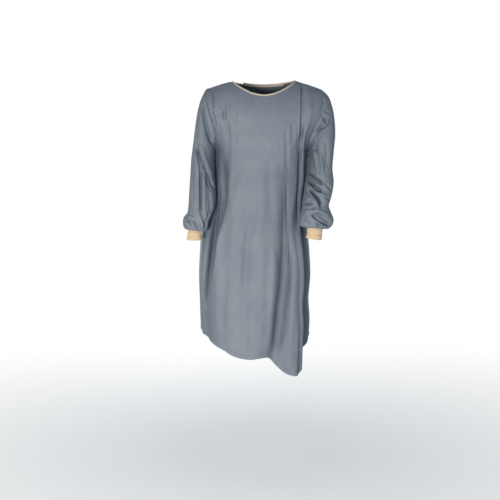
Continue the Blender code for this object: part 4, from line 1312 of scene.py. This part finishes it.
def thread(name, light):
    """Spun thread: a fine twist and a little variation of colour."""
    g = Graph(name)
    twist = g.noise(g.place, 2600.0, 2.0, 0.6)
    colour = g.mixed(g.spread(twist, 0.3, 0.7, 0.0, 1.0), darker(light, 0.75), light)
    return g.finish(colour, g.spread(twist, 0.3, 0.7, 0.5, 0.7), g.bump(twist, 0.0001), 0.15, 0.4)


def floor_material():
    """A pale matte floor that fades out far from the object."""
    g = Graph("pale_floor")
    away = g.vector("LENGTH", g.place)
    grain = g.noise(g.place, 3.0, 3.0, 0.5)
    g.put(g.shader.inputs["Base Color"], g.mixed(grain, FLOOR_WHITE, darker(FLOOR_WHITE, 0.97)))
    g.shader.inputs["Roughness"].default_value = 0.9
    g.put(g.shader.inputs["Alpha"], g.spread(away, 0.3, 2.2, 0.7, 0.0))
    return g.material


def dress(obj, material, slot, *nodes):
    """Gives a piece its material, lets it ride and hides the solids it stands for. slot is not used."""
    obj.data.materials.append(material)
    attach(obj, "root")
    if nodes:
        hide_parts(*nodes)
    return obj


def aimed(name, data, place, target):
    """A lamp or camera that looks from its place to a target."""
    obj = placed(name, data, place)
    towards = Vector(np.subtract(target, place))
    obj.rotation_euler = towards.to_track_quat("-Z", "Y").to_euler()
    return obj


def area_light(lamp):
    light = bpy.data.lights.new(lamp.name, "AREA")
    light.shape = "DISK"
    light.size = lamp.size
    light.energy = lamp.power
    light.color = lamp.colour
    aimed(lamp.name, light, lamp.place, lamp.target)


def make_studio():
    """Camera, floor, white surroundings and soft light."""
    camera = bpy.data.cameras.new("camera")
    camera.lens = LENS
    camera.sensor_width = SENSOR
    bpy.context.scene.camera = aimed("camera", camera, EYE, LOOK_AT)

    rim = [(FLOOR_RADIUS * np.cos(t), FLOOR_RADIUS * np.sin(t), 0.0) for t in full_turn(96)]
    floor = built("floor", rim, [tuple(range(len(rim)))], (0, 0, FLOOR_Z))
    floor.data.materials.append(floor_material())

    world = bpy.data.worlds.new("surroundings")
    world.use_nodes = True
    bpy.context.scene.world = world
    tree = world.node_tree
    seen = tree.nodes["Background"]
    seen.inputs["Color"].default_value = (*WHITE, 1.0)
    dim = tree.nodes.new("ShaderNodeBackground")
    dim.inputs["Color"].default_value = SKY_LIGHT
    dim.inputs["Strength"].default_value = SKY_POWER
    ray = tree.nodes.new("ShaderNodeLightPath")
    mix = tree.nodes.new("ShaderNodeMixShader")
    tree.links.new(ray.outputs["Is Camera Ray"], mix.inputs[0])
    tree.links.new(dim.outputs[0], mix.inputs[1])
    tree.links.new(seen.outputs[0], mix.inputs[2])
    tree.links.new(mix.outputs[0], tree.nodes["World Output"].inputs["Surface"])
    bpy.context.scene.view_settings.view_transform = "Standard"

    for lamp in LAMPS:
        area_light(lamp)


def add_panels(cloth, front, outer, inner):
    """The front panel and the two back panels."""
    for name, (grid, normals), node, cut in (
        ("gown_front", front, "front_panel", FRONT_CUT),
        ("gown_back_left", outer, "back_panel_left", BACK_CUT),
        ("gown_back_right", inner, "back_panel_right", BACK_CUT),
    ):
        piece = dress(shell(name, grid, normals, WALL), cloth, "gown_cloth", node)


def add_binding(ribbing, front, inner, outer):
    """The knit tape round the neck."""
    tape = dress(make_binding(front, inner, outer), ribbing, "binding_knit", "neck_binding")


def add_sleeves(cloth, ribbing):
    """Both sleeves, each with its knit cuff."""
    for word, side, cuff, *tables in (
        ("left", 1, LEFT_CUFF, LEFT_RINGS, LEFT_CREASES, LEFT_FINE, LEFT_SCATTER),
        ("right", -1, RIGHT_CUFF, RIGHT_RINGS, RIGHT_CREASES, RIGHT_FINE, RIGHT_SCATTER),
    ):
        sleeve = shell(f"gown_sleeve_{word}", *sleeve_grid(side, cuff, *tables), WALL, True)
        dress(sleeve, cloth, "gown_cloth", f"sleeve_{word}")
        knit_cuff = shell(f"knit_cuff_{word}", *cuff_grid(cuff), KNIT_WALL, True)
        dress(knit_cuff, ribbing, "cuff_knit", f"cuff_{word}")


def add_tab(tape, over, under):
    """The hook tab at the back of the neck. Returns its points and normals."""
    tab, parts = make_tab((over, under))
    dress(tab, tape, "tab_hook", "neck_tab")
    return parts


def add_ties(cloth, over, under):
    """The waist ties, their knot and its free ends. Returns points and normals of the four bands."""
    place = [np.array([value]) for value in (KNOT_SHARE, KNOT_Z, KNOT_SIZE[1] + KNOT_LIFT)]
    centre = lay_on(under, *place)[0][0]
    made = [
        make_tie("waist_tie_run_left", (over, under), LEFT_TIE),
        make_tie("waist_tie_run_right", (under, under), RIGHT_TIE),
        make_tail("waist_tie_end_left", LEFT_TAIL, centre, under),
        make_tail("waist_tie_end_right", RIGHT_TAIL, centre, under),
    ]
    knot = dress(make_knot(centre), cloth, "gown_cloth", "waist_knot")
    words = (
        ("waist_tie_left", LEFT_TIE_LENGTH, "laid", "gown_back_right"),
        ("waist_tie_right", RIGHT_TIE_LENGTH, "laid", "gown_back_right"),
        ("tie_end_left", LEFT_TAIL.length, "hung", knot),
        ("tie_end_right", RIGHT_TAIL.length, "hung", knot),
    )
    for (piece, _), (node, long, held, rest) in zip(made, words):
        dress(piece, cloth, "gown_cloth", node)
    return [parts for _, parts in made]


def add_stitches(panels, bands, tab, blue_thread, cream_thread):
    """Stitches along the hem and both edges of the ties, and round the tab."""
    rows = [stitch_points(*row_at(*parts, HEM_DEPTH), HEM_STITCH) for parts in panels]
    for grid, normals in bands:
        for edge in (1, -2):
            rows.append(stitch_points(grid[edge], normals[edge], TIE_STITCH))
    dress(make_stitches("hem_stitches", rows, HEM_STITCH), blue_thread, "gown_cloth")
    grid, normals = tab
    rows = [stitch_points(grid[e], normals[e], TAB_STITCH) for e in (1, -2)]
    rows += [stitch_points(grid[:, e], normals[:, e], TAB_STITCH) for e in (2, 22)]
    dress(make_stitches("tape_stitches", rows, TAB_STITCH), cream_thread, "binding_knit")


def main():
    make_studio()
    blue = nonwoven("gown_nonwoven", BLUE, BLUE_DEEP)
    cream = knit("cuff_rib_knit", CREAM, CREAM_PAINTED_LOOP_SHADE, CUFF_LOOP)
    # The tape's second colour, three quarters as light, is painted shade for the hollows between its loops
    tape = knit("neck_tape_knit", TAPE_CREAM, darker(TAPE_CREAM, 0.75), TAPE_LOOP)
    white = hook_tape("hook_tape", TAB_WHITE)
    blue_thread = thread("blue_thread", THREAD_BLUE)
    cream_thread = thread("cream_thread", TAPE_CREAM)

    front = panel(front_shares(), -1, NECK_DROP)
    outer = panel(back_shares(), 1, BACK_NECK_DROP, layer_lift(True))
    inner = panel(-back_shares(), 1, BACK_NECK_DROP, layer_lift(False))
    over, under = (*outer, back_shares()), (*inner, -back_shares())
    add_panels(blue, front, outer, inner)
    add_binding(tape, (*front, front_shares()), under, over)
    add_sleeves(blue, cream)
    tab = add_tab(white, over, under)
    bands = add_ties(blue, over, under)
    add_stitches((front, outer, inner), bands, tab, blue_thread, cream_thread)


main()
